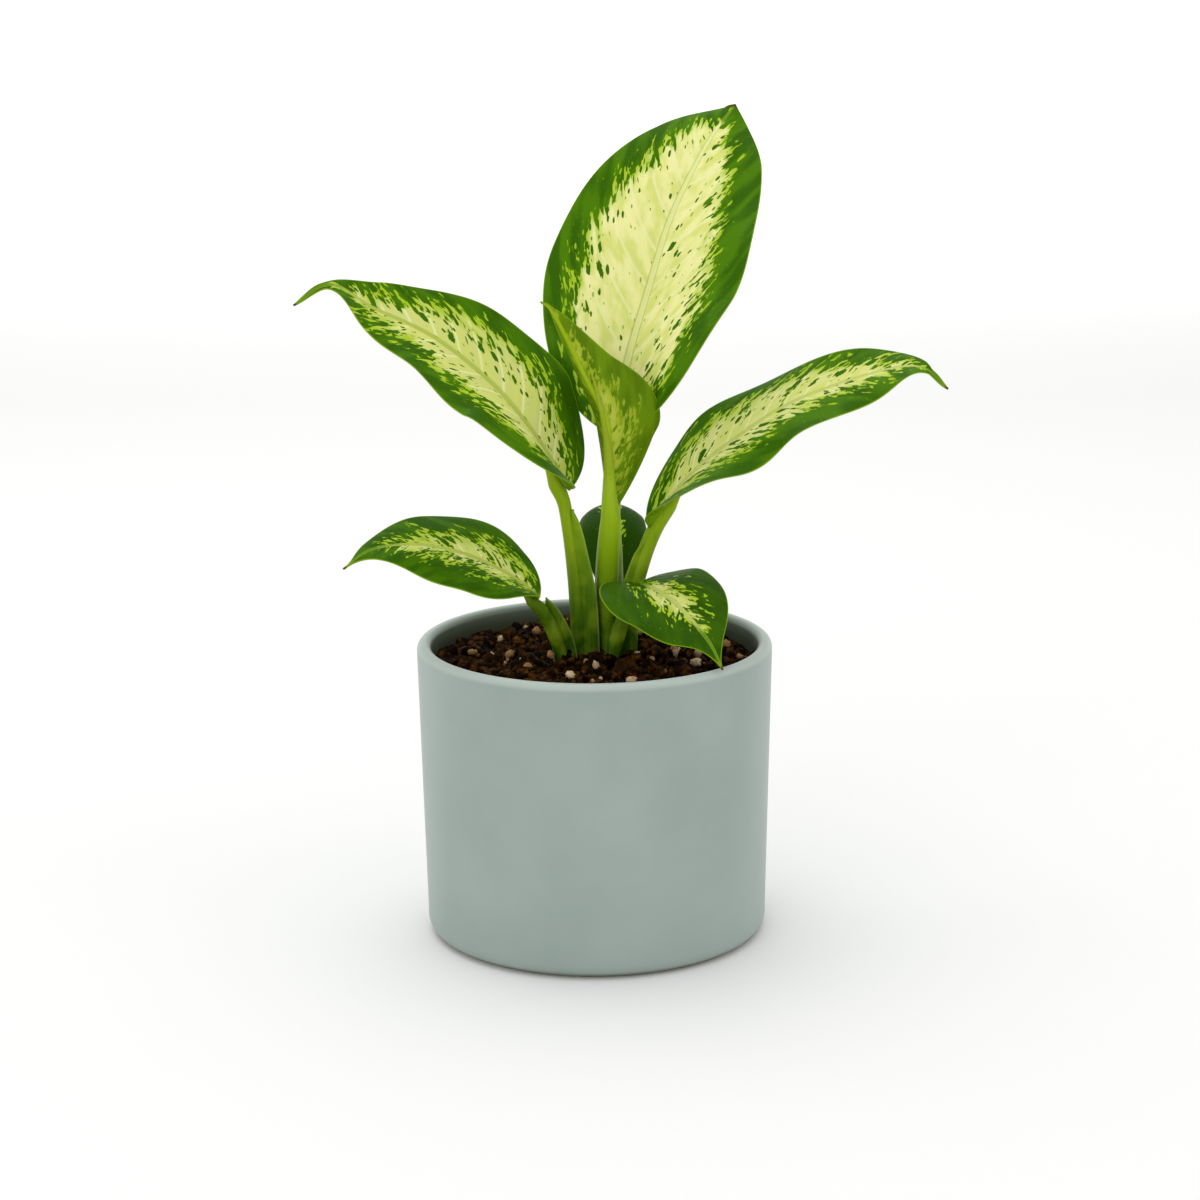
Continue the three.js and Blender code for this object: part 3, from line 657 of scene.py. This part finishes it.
def vein_start(distance, reach, width):
    """Where on the midrib a point's side vein starts: back from the point by VEIN_LEAN times its
    distance from the midrib, and by more towards the margin, where the vein bends to the tip."""
    return distance - VEIN_LEAN * reach - VEIN_BEND * reach**2 / width


def blade_relief(t, facing, across, reach, width, veining, rib_width):
    """How far the skin stands off the sheet: a rounded thickness on either side, bulges between the
    veins as a power of a sine, and the midrib's ridge and channel as bell curves."""
    groove = np.abs(np.sin(np.pi * veining)) ** 0.7
    quilt = QUILT_HEIGHT * groove * (1 - np.exp(-reach / 4)) * (1 - across**3)
    quilt = quilt * np.minimum(1, width / 9)
    ridge = np.exp(-((reach / rib_width) ** 2))
    channel = np.exp(-((CHANNEL_NARROWER * reach / rib_width) ** 2))
    rib = RIB_HEIGHT * np.minimum(1, t / RIB_GROWS) * (1 - t) ** 0.7
    skin = BLADE_THICKNESS / 2 * np.abs(facing) ** 0.3
    above = skin + rib * (0.28 * ridge - 0.3 * channel)
    below = -skin - rib * ridge
    return quilt + np.where(facing > 0, above, below)


def build_blade(name, leaf, material, seed):
    """One blade: the sheet with its relief, and what its colours need, kept at each point."""
    t = np.linspace(0, 1, BLADE_ROWS)
    t = 0.6 * t + 0.4 * (1 - np.cos(np.pi * t)) / 2  # closer at the base and the tip
    u, facing = ring_across(BLADE_RING)
    half_width = blade_half_width(leaf, t)
    points, normals, reach = sheet(leaf, leaf["midrib"], half_width, t, u)
    spine = curve_through(leaf["midrib"], t)[0]
    steps = np.linalg.norm(np.diff(spine, axis=0), axis=1)
    distance = np.concatenate([[0], np.cumsum(steps)])[:, None]
    width = np.maximum(half_width[:, None], LEAST_HALF_WIDTH) * np.where(
        u < 0, leaf["left"]["share"], leaf["right"]["share"]
    )
    across = np.abs(u)
    start = vein_start(distance, reach, width)
    spacing = VEIN_SPACING * (0.15 + 0.85 * leaf["halfWidth"] / LEAVES["top"]["halfWidth"])
    thickest_rib = leaf.get("ribWidth", RIB_SHARE * leaf["halfWidth"])
    rib_width = LEAST_RIB + thickest_rib * (1 - t[:, None]) ** 0.7
    relief = blade_relief(t[:, None], facing, across, reach, width, start / spacing, rib_width)
    points = points + normals * relief[..., None]
    blade = new_piece("leaf_" + name, points, closed_faces(BLADE_ROWS, BLADE_RING), material)
    limits = (np.interp(t, *np.transpose(leaf[key])) for key in ("creamLeft", "creamRight"))
    inside = np.where(u < 0, *(limit[:, None] for limit in limits)) - across
    inside = inside * np.maximum(width, LEAST_CREAM_WIDTH)
    grain = leaf.get("grain", 1)
    across_veins = start * VEIN_SLANT / grain + PATTERN_STEP * seed
    along_veins = reach * np.sign(u) / VEIN_SLANT / grain
    store(blade, "pattern", np.stack([across_veins, along_veins, inside], -1))
    edge = (1 - across) * width
    to_tip = distance[-1] - distance + 0 * u
    store(blade, "place", np.stack([edge, reach / rib_width, to_tip], -1))
    store(blade, "veining", start / spacing)
    store(blade, "under", np.broadcast_to(facing < 0, reach.shape)[..., None])
    for trait in ("paleness", "age"):
        store(blade, trait, np.full((*reach.shape, 1), leaf[trait]))
    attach(blade, "root")
    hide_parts("blade_" + name)
    return blade


print("a blade has", BLADE_ROWS * BLADE_RING, "points")

# %% [markdown]
# ## The blade's colours
# A variegated leaf is green where its cells hold chlorophyll and cream where they don't. The cells
# grew in files along the side veins, so every patch is drawn out along the veins: the green runs
# into the cream in teeth and streaks, drops of green lie in the cream, and small yellow-green
# islands lie in the green. Teeth and streaks are cuts through noise that is stretched along the
# veins in the leaf's own terms, and the drops sit in the cells of a stretched Voronoi pattern. The
# sizes are real ones: a tooth is about 1.7 mm wide and 3.6 mm long, and most flecks are smaller.

# %% Patterns that follow the veins
def stretched_noise(tree, pattern, wide, long, detail=1.0, bent=0.0):
    """Noise in vein space, with patches so many millimetres wide, across the veins, and long."""
    scaled = add(tree, "VectorMath", {0: pattern, 1: (1 / wide, 1 / long, 0)}, operation="MULTIPLY")
    return add(tree, "TexNoise", {
        "Vector": scaled[0], "Scale": 1.0, "Detail": detail, "Distortion": bent,
    }, noise_dimensions="2D")[0]


def scattered_drops(tree, pattern, ragged, wide, long, share, most):
    """Drops in vein space: a share of the cells holds one each, whose radius is up to most of a
    cell, with an outline that the noise ragged disturbs."""
    scaled = add(tree, "VectorMath", {0: pattern, 1: (1 / wide, 1 / long, 0)}, operation="MULTIPLY")
    cells = add(tree, "TexVoronoi", {"Vector": scaled[0], "Scale": 1.0}, voronoi_dimensions="2D")
    chance = add(tree, "SeparateColor", {0: cells["Color"]})[0]
    size = add(tree, "MapRange", {0: chance, 1: 0, 2: share, 3: most, 4: -0.12})[0]
    outside = add(tree, "Math", {0: cells["Distance"], 1: size}, operation="SUBTRACT")[0]
    outside = add(tree, "Math", {0: ragged, 1: 0.24, 2: outside}, operation="MULTIPLY_ADD")[0]
    return add(tree, "MapRange", {0: outside, 1: 0.09, 2: 0.15, 3: 1, 4: 0}, **SMOOTH)[0]


def cream_limit(tree, pattern, ragged):
    """How deep a point lies inside the cream, in millimetres: the drawn limit, shifted by teeth,
    bays, streaks and crumbs. Also gives the limit shifted by the bays alone."""
    inside = add(tree, "SeparateXYZ", {0: pattern})[2]
    fine = stretched_noise(tree, pattern, 1.7, 3.6, 1.0, 0.5)
    teeth = add(tree, "MapRange", {0: fine, 3: -9, 4: 9})[0]
    broad = stretched_noise(tree, pattern, 6.0, 9.0, 1.0, 0.3)
    bays = add(tree, "MapRange", {0: broad, 3: -6, 4: 6})[0]
    long = stretched_noise(tree, pattern, 1.9, 12.0, 1.0, 0.2)
    streaks = add(tree, "MapRange", {0: long, 1: 0.6, 2: 0.7, 3: 0, 4: -8}, **SMOOTH)[0]
    crumbs = add(tree, "MapRange", {0: ragged, 3: -1.5, 4: 1.5})[0]
    depth = inside
    for shift in (teeth, bays, streaks, crumbs):
        depth = add(tree, "Math", {0: depth, 1: shift}, operation="ADD")[0]
    return inside, depth, add(tree, "Math", {0: inside, 1: bays}, operation="ADD")[0]


print("patterns: stretched noise, scattered drops and the cream's limit")

# %% [markdown]
# ## Cream and green
# The cream is buttery in patches, white along the side veins and greener towards its limit, and
# holds pale specks, flecks and a few long dashes of green. The green is deep and fresh in patches,
# brighter towards the cream, darker in an old leaf, and holds islands of lime.

# %% Colour the cream and the green
# cell width and length, largest radius as a part of a cell, the share of cells that hold a drop at
# the cream's limit and in its middle, and the colour
DROPS = [
    (1.9, 2.4, 0.30, 0.16, 0.16, "speck"), (1.7, 2.9, 0.36, 0.75, 0.10, "fleck"),
    (3.0, 5.6, 0.38, 0.75, 0.03, "fleck"), (4.2, 12.0, 0.28, 0.45, 0.05, "fleck"),
]


def cream_colour(tree, shade, pattern, ragged, depth, reach, paleness):
    """Cream with veins and drops; reach is how far a point lies inside the limit without teeth."""
    patches = stretched_noise(tree, pattern, 4.5, 9.0, 2.0)
    veining = add(tree, "Attribute", attribute_name="veining")["Fac"]
    phase = add(tree, "Math", {0: veining, 1: 1.0}, operation="PINGPONG")[0]
    pale = add(tree, "Mix", {0: paleness, 6: shade["celery"], 7: shade["cream"]}, **COLOURS)[2]
    pale = coat(tree, pale, shade["butter"], patches, (0.36, 0.66), (0, 0.8), "LINEAR")
    pale = coat(tree, pale, shade["vein"], phase, (0, 0.22), (0.6, 0))
    pale = coat(tree, pale, shade["lime"], reach, (-1.5, 6), (0.95, 0))
    pale = coat(tree, pale, shade["lime"], depth, (0, 1.6), (0.75, 0))
    for wide, long, most, rim_share, middle_share, kind in DROPS:
        often = add(tree, "MapRange", {0: reach, 1: 1, 2: 11, 3: rim_share, 4: middle_share})[0]
        drops = scattered_drops(tree, pattern, ragged, wide, long, often, most)
        pale = add(tree, "Mix", {0: drops, 6: pale, 7: shade[kind]}, **COLOURS)[2]
    return pale


def green_colour(tree, shade, pattern, ragged, depth, reach, age):
    """Green in patches with islands, which get rare five millimetres from the cream."""
    patches = stretched_noise(tree, pattern, 7.0, 13.0)
    dark = coat(tree, shade["deep"], shade["green"], patches, (0.38, 0.62), change="LINEAR")
    dark = coat(tree, dark, shade["bright"], depth, (-3, 0), (0, 0.4))
    dark = add(tree, "Mix", {0: age, 6: dark, 7: shade["old"]}, **COLOURS)[2]
    often = add(tree, "MapRange", {0: reach, 1: -5, 2: 0.5, 3: 0, 4: 0.7})[0]
    islands = scattered_drops(tree, pattern, ragged, 2.0, 2.8, often, 0.4)
    return add(tree, "Mix", {0: islands, 6: dark, 7: shade["island"]}, **COLOURS)[2]


print("kinds of drops in the cream:", len(DROPS))

# %% [markdown]
# ## The leaf's surface
# The midrib is pale with a greener line on either side, the margin is a thin lighter line, the tip
# has dried brown, and the lower face is a duller green. The cuticle, a wax film, gives the blade
# its satin gloss; light also passes into the thin tissue and scatters, so the blade glows a little
# where it is lit from the far side. The youngest leaf has softer colours that run into each other.

# %% Mix the leaf materials
def leaf_material(name, codes, roughness, dull_below, blur):
    """A leaf lamina with a cuticle. Green changes to cream within blur millimetres on either side
    of the limit, and the lower face is duller by as much as dull_below says."""
    material, tree = new_material(name)
    shade = {key: linear(code) for key, code in codes.items()}
    pattern = add(tree, "Attribute", attribute_name="pattern")["Vector"]
    place = add(tree, "Attribute", attribute_name="place")["Vector"]
    edge, from_rib, to_tip = add(tree, "SeparateXYZ", {0: place})
    traits = ("under", "paleness", "age")
    under, paleness, age = (add(tree, "Attribute", attribute_name=t)["Fac"] for t in traits)
    ragged = stretched_noise(tree, pattern, 0.7, 1.3)
    inside, depth, reach = cream_limit(tree, pattern, ragged)
    pale = cream_colour(tree, shade, pattern, ragged, depth, reach, paleness)
    dark = green_colour(tree, shade, pattern, ragged, depth, reach, age)
    colour = coat(tree, dark, pale, depth, (-blur, blur))

    rib = coat(tree, shade["low_rib"], shade["rib"], paleness, (0.5, 1), change="LINEAR")
    rib = coat(tree, shade["green_rib"], rib, inside, (-1, 4))
    colour = coat(tree, colour, shade["rib_side"], from_rib, (0.85, 1.2), (0.6, 0))
    colour = coat(tree, colour, rib, from_rib, (0.6, 0.85), (0.95, 0))
    colour = coat(tree, colour, shade["margin"], edge, (0.1, 0.5), (0.7, 0))
    colour = coat(tree, colour, shade["tip"], to_tip, (0.5, 1.8), (1, 0))
    share = add(tree, "Math", {0: under, 1: dull_below}, operation="MULTIPLY")[0]
    colour = add(tree, "Mix", {0: share, 6: colour, 7: shade["below"]}, **COLOURS)[2]

    waxy = stretched_noise(tree, pattern, 2.2, 5.0)
    gloss = add(tree, "MapRange", {0: waxy, 3: roughness - 0.1, 4: roughness + 0.12})[0]
    tissue = stretched_noise(tree, pattern, 0.5, 0.8)
    surface(tree, colour, gloss, tissue, 0.2, 0.06, {
        "IOR": 1.42, "Specular IOR Level": 0.05, "Subsurface Weight": 0.2,
        "Subsurface Scale": 0.8 * MM, "Subsurface Radius": (0.7, 1.0, 0.2),
    })
    return material


grown = leaf_material("grown_leaf_with_waxy_cuticle", {
    "cream": "#f1efa6", "celery": "#b8c358", "butter": "#d6dc72", "lime": "#a6c41c",
    "island": "#9fc020", "bright": "#669a06", "green": "#4d7d05", "deep": "#376402",
    "old": "#274a01", "speck": "#93b83a", "fleck": "#3d6f02", "vein": "#f3f2bc",
    "rib": "#ebeda2", "low_rib": "#b9c75a", "rib_side": "#a9b94a", "green_rib": "#5f8f0c",
    "margin": "#93b31a", "tip": "#5a3b22", "below": "#6b9208",
}, 0.38, 0.85, 0.2)
soft = leaf_material("young_leaf_still_unfolding", {
    "cream": "#c4cd58", "celery": "#b6c340", "butter": "#abb930", "lime": "#9db12a",
    "island": "#94ab20", "bright": "#7c9a10", "green": "#628806", "deep": "#4a7002",
    "old": "#4f7602", "speck": "#95aa2a", "fleck": "#8ea522", "vein": "#bac656",
    "rib": "#a2bd1e", "low_rib": "#a2bd1e", "rib_side": "#7f9a18", "green_rib": "#98b416",
    "margin": "#8fa818", "tip": "#7f9c24", "below": "#93a824",
}, 0.42, 0.15, 1.7)
print("leaf finishes:", grown.name, soft.name)

# %% [markdown]
# ## Growing the blades
# Every blade comes from the same function with its own values, and a seed of its own keeps two
# leaves from showing the same pattern. Only the youngest leaf has the soft finish.

# %% Grow the blades
for seed, (name, leaf) in enumerate(LEAVES.items(), start=1):
    young = name == "young"
    build_blade(name, leaf, soft if young else grown, seed)

# %% [markdown]
# ## Leaf stalks
# A dieffenbachia's leaf stalk is fleshy and round, and in its lower part it has two thin wings, the
# sheath, that wrap round the younger stalks inside it. A stalk is therefore made of two surfaces
# in one piece: a tube carried along the stalk's path, with a shallow channel on its inner side, and
# a sheet like a leaf's for the sheath, thick at its back and thin as paper at its two margins.

# %% Build a stalk
STALK_ROWS, STALK_RING, SHEATH_ROWS, SHEATH_RING = 90, 40, 70, 96
END_LENGTH, END_RADIUS = 0.16, 0.1  # parts of the stalk's length and radius
CHANNEL_DEPTH = 0.16
WING_EDGE, WING_BACK = 0.12, 0.38
FAR_FROM_MARGIN, WING_GREEN = 9.0, 0.6


def stalk_tube(stalk):
    """A circle whose radius is given at each station, flattened on the side that it faces and thin
    at its end, where it joins the blade's midrib."""
    t = np.linspace(0, 1, STALK_ROWS)
    along = frame_along(stalk["path"], stalk["face"], [0] * 3, t)
    point, _, up, right = (a[:, None] for a in along)
    angle = np.linspace(0, 2 * np.pi, STALK_RING, endpoint=False)
    stations = [[i, radius] for i, radius in enumerate(stalk["radii"])]
    radius = curve_through(stations, t)[0][:, 1:]
    radius = radius * np.minimum(1, (1 - t[:, None]) / END_LENGTH + END_RADIUS) ** 0.7
    radius = radius * (1 - CHANNEL_DEPTH * np.clip(np.cos(angle), 0, 1) ** 3)
    points = point + up * (radius * np.cos(angle))[..., None]
    return points + right * (radius * np.sin(angle))[..., None]


def sheath_sheet(sheath):
    """The sheet of a sheath, with half its thickness falling from the back to the two edges, and
    each point's distance from the nearer edge."""
    t = np.linspace(0, 1, SHEATH_ROWS)
    u, facing = ring_across(SHEATH_RING)
    points, normals, reach = sheet(sheath, sheath["path"], sheath_half_width(sheath, t), t, u)
    half_thick = WING_EDGE + WING_BACK * (1 - np.abs(u)) ** 0.7
    offset = half_thick * np.sign(facing) * np.abs(facing) ** 0.3
    width = np.maximum(sheath_half_width(sheath, t)[:, None], LEAST_HALF_WIDTH)
    return points + normals * (offset + 0 * reach)[..., None], (1 - np.abs(u)) * width


def build_stalk(name, leaf, material):
    """One stalk: the tube and, where the leaf has one, the sheath. Each point keeps its distance
    from the sheath's margin and how green a wing is; the tube counts as far from any margin."""
    points = stalk_tube(leaf["stalk"])
    faces = closed_faces(STALK_ROWS, STALK_RING)
    from_margin = np.full(points.shape[:2], FAR_FROM_MARGIN)
    parts = [(points, from_margin, 0 * from_margin)]
    if "sheath" in leaf:
        wing_points, wing_margin = sheath_sheet(leaf["sheath"])
        faces = faces + closed_faces(SHEATH_ROWS, SHEATH_RING, STALK_ROWS * STALK_RING)
        wing_green = 0 * wing_margin + leaf.get("wingGreen", WING_GREEN)
        parts.append((wing_points, wing_margin, wing_green))
    points, from_margin, wing = (
        np.concatenate([part[i].reshape(-1, *part[i].shape[2:]) for part in parts])
        for i in range(3)
    )
    stalk = new_piece("leafstalk_" + name, points, faces, material)
    store(stalk, "margin", from_margin[:, None])
    store(stalk, "wing", wing[:, None])
    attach(stalk, "root")
    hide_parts("stalk_" + name)
    return stalk


print("a stalk's tube has", STALK_ROWS * STALK_RING, "points")

# %% [markdown]
# ## The stalk's colours
# The skin of a stalk is thin and waxy over watery green tissue. It is yellow-green where light goes
# through, painted darker towards the foot as painted shade low among the crowded stalks, and
# faintly striped along its length by the strands inside. The wings of a sheath are greener and end
# in a pale dry skin, and old leaf scars leave brown marks near the mix.

# %% Mix the stalk materials
STRIPES = (900, 900, 35)  # a metre holds so many: each is 1.1 mm wide and 29 mm long
EVERY_STALK = {"wing": "#5f8f06", "dry": "#b9c46a", "scar": "#6b4a2a"}


def stalk_material(name, codes):
    """A fleshy stalk: bright above, painted darker at the foot as painted shade, striped along Z,
    with dry pale margins. The foot's painted shade ends at a height of 150 mm, and the top's colour
    is complete at 172 mm."""
    material, tree = new_material(name)
    shade = {key: linear(code) for key, code in {**EVERY_STALK, **codes}.items()}
    place = add(tree, "TexCoord")["Object"]
    height = add(tree, "SeparateXYZ", {0: place})[2]
    margin = add(tree, "Attribute", attribute_name="margin")["Fac"]
    wing = add(tree, "Attribute", attribute_name="wing")["Fac"]
    scaled = add(tree, "VectorMath", {0: place, 1: STRIPES}, operation="MULTIPLY")[0]
    stripes = add(tree, "TexNoise", {"Vector": scaled, "Scale": 1.0, "Detail": 2})[0]
    clouds = add(tree, "TexNoise", {"Vector": place, "Scale": 1 / (9 * MM), "Detail": 2})[0]
    colour = add(tree, "Mix", {0: wing, 6: shade["above"], 7: shade["wing"]}, **COLOURS)[2]
    # painted shade: the stalks are painted darker from 150 mm down, fully below 99 mm, low in the
    # crowded crown
    colour = coat(tree, colour, shade["foot"], height, (99 * MM, 150 * MM), (1, 0))
    colour = coat(tree, colour, shade["stripe"], stripes, (0.42, 0.68), (0, 0.35), "LINEAR")
    colour = coat(tree, colour, shade["top"], height, (148 * MM, 172 * MM))
    colour = coat(tree, colour, shade["cloud"], clouds, (0.45, 0.7), (0, 0.5), "LINEAR")
    colour = coat(tree, colour, shade["dry"], margin, (0.1, 0.8), (0.25, 0))
    marks = add(tree, "TexNoise", {"Vector": place, "Scale": 1 / (2.6 * MM), "Detail": 3})[0]
    low = add(tree, "MapRange", {0: height, 1: 96 * MM, 2: 106 * MM, 3: 0.22, 4: 0}, **SMOOTH)[0]
    marks = add(tree, "Math", {0: marks, 1: low}, operation="ADD")[0]
    colour = coat(tree, colour, shade["scar"], marks, (0.72, 0.84), (0, 0.7))
    gloss = add(tree, "MapRange", {0: clouds, 3: 0.36, 4: 0.5})[0]
    surface(tree, colour, gloss, stripes, 0.3, 0.15, {
        "IOR": 1.4, "Specular IOR Level": 0.12, "Subsurface Weight": 0.25,
        "Subsurface Scale": 1.4 * MM, "Subsurface Radius": (0.8, 1.0, 0.25),
    })
    return material


fleshy = stalk_material("fleshy_stalk_with_waxy_skin", {
    "above": "#93b012", "foot": "#2b5202", "stripe": "#6f960a", "cloud": "#9cb426",
    "top": "#9db424",
})
tender = stalk_material("tender_stalk_of_the_youngest_leaf", {
    "above": "#98b80e", "foot": "#4f7a04", "stripe": "#80a60a", "cloud": "#a8be34",
    "top": "#98ac26",
})
for name, leaf in LEAVES.items():
    build_stalk(name, leaf, tender if name == "young" else fleshy)

# %% [markdown]
# ## The potting mix
# The pot is filled to a few millimetres under its rim with a coarse mix of composted bark, peat
# crumbs and white perlite, a puffed volcanic glass. The surface is a bed with many hundreds of
# separate lumps on it. A lump is a small ball whose points are pushed in and out at random, and
# all lumps are worked out in one array: size, place, turn and dents are drawn from a seeded
# generator, so they come out alike every time.

# %% Shape the bed and the lumps
WALL_HEIGHT, CROWN_HEIGHT = 93.5, 96
BED_RADIUS = INNER_RADIUS - 0.3
LUMP_LEVELS, LUMP_SIDES = 5, 7


def mound(distance):
    """The height of the mix: a low dome."""
    return CROWN_HEIGHT + (WALL_HEIGHT - CROWN_HEIGHT) * (distance / BED_RADIUS) ** 2


def bumps(x, y):
    """A sum of crossed waves from 5 to 14 mm long, which never quite repeats."""
    height = 0 * x
    for length, phase in ((14, 0.3), (9.5, 1.9), (7.1, 4.0), (5.2, 2.6)):
        height += length / 18 * np.sin(2 * np.pi * x / length + phase + 0.9 * np.sin(y / 4))
        height += length / 18 * np.sin(2 * np.pi * y / length - phase + 1.1 * np.sin(x / 5))
    return 0.65 * height


def globe_skin(levels, sides):
    """The points of a globe of radius 1 with a pole at either end, and its faces."""
    pitch = np.linspace(0, np.pi, levels + 2)[1:-1]
    turn = np.linspace(0, 2 * np.pi, sides, endpoint=False)
    ring = np.stack([
        np.sin(pitch)[:, None] * np.cos(turn),
        np.sin(pitch)[:, None] * np.sin(turn),
        np.cos(pitch)[:, None] + 0 * turn,
    ], -1).reshape(-1, 3)
    globe = np.concatenate([[[0, 0, 1]], ring, [[0, 0, -1]]])
    top = [[0, 1 + k, 1 + (k + 1) % sides] for k in range(sides)]
    belts = (grid_faces(levels, sides) + 1)[:, ::-1].tolist()
    end = len(globe) - 1
    bottom = [[end, end - sides + (k + 1) % sides, end - sides + k] for k in range(sides)]
    return globe, top + belts + bottom


def lump_shapes(count, sizes, flatness, rough):
    """Dented balls: the points of a small globe, each pushed along its radius, the whole pressed
    flatter along one axis and turned at random."""
    globe, faces = globe_skin(LUMP_LEVELS, LUMP_SIDES)
    dents = 1 + rough * rng.uniform(-1, 1, (count, len(globe), 1))
    width, height = rng.uniform(0.6, 1, count), rng.uniform(*flatness, count)
    squash = np.stack([np.ones(count), width, height], -1)
    points = globe * dents * squash[:, None] * sizes[:, None, None]
    axes = np.linalg.qr(rng.normal(size=(count, 3, 3)))[0]
    axes *= np.linalg.det(axes)[:, None, None]  # turns only, no mirror images
    return np.einsum("nij,npj->npi", axes, points), faces


def spread(count, margin):
    """Places spread evenly over the bed's disc: the distance is the root of an even number."""
    away = (BED_RADIUS - margin) * np.sqrt(rng.uniform(0, 1, count))
    angle = rng.uniform(0, 2 * np.pi, count)
    return np.stack([away * np.cos(angle), away * np.sin(angle)], -1)


def scatter(name, places, sizes, flatness, rough, sunk, material):
    """Lumps of given radii at given places on the bed, sunk by a part of their radius."""
    x, y = places.T
    points, faces = lump_shapes(len(places), sizes, flatness, rough)
    z = mound(np.hypot(x, y)) + bumps(x, y) - sizes * sunk
    points = points + np.stack([x, y, z], -1)[:, None]
    per = points.shape[1]
    skin = [[start * per + i for i in face] for start in range(len(places)) for face in faces]
    piece = new_piece(name, points, skin, material)
    store(piece, "tint", np.repeat(rng.uniform(0, 1, len(places)), per)[:, None])
    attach(piece, "root")
    return piece


print("a lump has", len(globe_skin(LUMP_LEVELS, LUMP_SIDES)[0]), "points")

# %% [markdown]
# ## The colours of the mix
# Wet bark and peat are nearly black-brown; where a lump has dried or shows a fresh face it is
# rust-brown. Each lump has its own tint, and fibres make it uneven. Perlite is white when fresh and
# takes on a tan stain from the peat, with darker pits.

# %% Mix the soil materials
def crumb_material(name, dark, mid, light, grain, roughness):
    """A broken natural surface: a tint for each lump, mottled at grain millimetres."""
    material, tree = new_material(name)
    place = add(tree, "TexCoord")["Object"]
    tint = add(tree, "Attribute", attribute_name="tint")["Fac"]
    mottle = add(tree, "TexNoise", {"Vector": place, "Scale": 1 / (grain * MM), "Detail": 4})[0]
    colour = coat(tree, linear(dark), linear(mid), tint, (0.3, 1))
    colour = coat(tree, colour, linear(light), mottle, (0.5, 0.8), change="LINEAR")
    surface(tree, colour, roughness, mottle, 0.9, 0.4, {"Specular IOR Level": 0.05})
    return material


bark = crumb_material("composted_pine_bark_and_peat", "#090400", "#2c1704", "#744514", 2.6, 0.85)
perlite = crumb_material(
    "puffed_perlite_stained_by_peat", "#a07a50", "#d8bc96", "#6e4e2e", 1.0, 0.7
)
print("soil finishes:", bark.name, perlite.name)

# %% [markdown]
# ## Filling the pot
# The bed is one closed body: turned below, and uneven above. Twenty larger grains of perlite have
# places of their own, after the photo; every other lump and grain is drawn at random.

# %% Fill the pot
BED_SECTORS, BED_RINGS = 200, 70
LARGE_LUMPS, SMALL_LUMPS, SMALL_GRAINS = 300, 900, 45

rings = np.linspace(BED_RADIUS, 0.3, BED_RINGS)
angle = np.linspace(0, 2 * np.pi, BED_SECTORS, endpoint=False)
x, y = rings[:, None] * np.cos(angle), rings[:, None] * np.sin(angle)
upper = np.stack([x, y, mound(rings)[:, None] + bumps(x, y) - 0.5], -1)
side_profile = np.array([[30, 6.5], [46, 6.5], [BED_RADIUS, 16], [BED_RADIUS, 60]])
bed_points = np.concatenate([turned(side_profile, BED_SECTORS), upper])
bed = new_piece("mix_bed", bed_points, turned_faces(len(bed_points), BED_SECTORS), bark)
# The bed takes the darkest colour of the mix: partly the nearly black wet peat, partly painted
# shade in the gaps between the lumps.
store(bed, "tint", np.zeros((len(bed.data.vertices), 1)))
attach(bed, "root")
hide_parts("soil")
crumb_sizes = np.append(rng.uniform(2, 3.8, LARGE_LUMPS), rng.uniform(0.7, 1.9, SMALL_LUMPS))
crumb_places = spread(len(crumb_sizes), 3.6)
scatter("mix_crumbs", crumb_places, crumb_sizes, (0.55, 0.95), 0.3, 0.15, bark)
seen = np.array([
    [-41.3, 2.7], [-35.4, -0.2], [-28.6, -3.1], [-22.3, -18.9], [-14.7, -7.5], [-2.9, -14.4],
    [0.5, -23.5], [27, 1.7], [28, -5], [35, -2.6], [33.8, -15.6], [44.8, 5.1], [14.3, -3.2],
    [-20.1, 29.3], [-13.2, 40.4], [16.1, 25.3], [-32.7, 22.8], [48.9, -7], [-8, -34], [12, -38],
])
perlite_places = np.concatenate([seen, spread(SMALL_GRAINS, 3)])
perlite_sizes = np.append(rng.uniform(1.2, 2, len(seen)), rng.uniform(0.4, 1, SMALL_GRAINS))
scatter("mix_perlite", perlite_places, perlite_sizes, (0.7, 1), 0.28, -0.9, perlite)
print("lumps:", len(crumb_sizes), "and grains of perlite:", len(perlite_sizes))

# %% [markdown]
# ## The cane
# The youngest stalk grows out of a short woody cane that stays under the surface of the mix. It is
# the one measured solid that needs no finer shape, so it only gets a finish.

# %% Finish the cane
cane, tree = new_material("green_cane_with_corky_rings")
place = add(tree, "TexCoord")["Object"]
rings_along = add(tree, "TexWave", {
    "Vector": place, "Scale": 1 / (12 * MM), "Distortion": 3,
}, bands_direction="Z")[0]
colours = {0: rings_along, 6: linear("#6d7a2e"), 7: linear("#8a7448")}
colour = add(tree, "Mix", colours, **COLOURS)[2]
shader = add(tree, "BsdfPrincipled", {"Base Color": colour, "Roughness": 0.7})
add(tree, "OutputMaterial", {"Surface": shader[0]})
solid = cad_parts["stem_cane"]
solid.data.materials.clear()
solid.data.materials.append(cane)
print("cane:", solid.name)
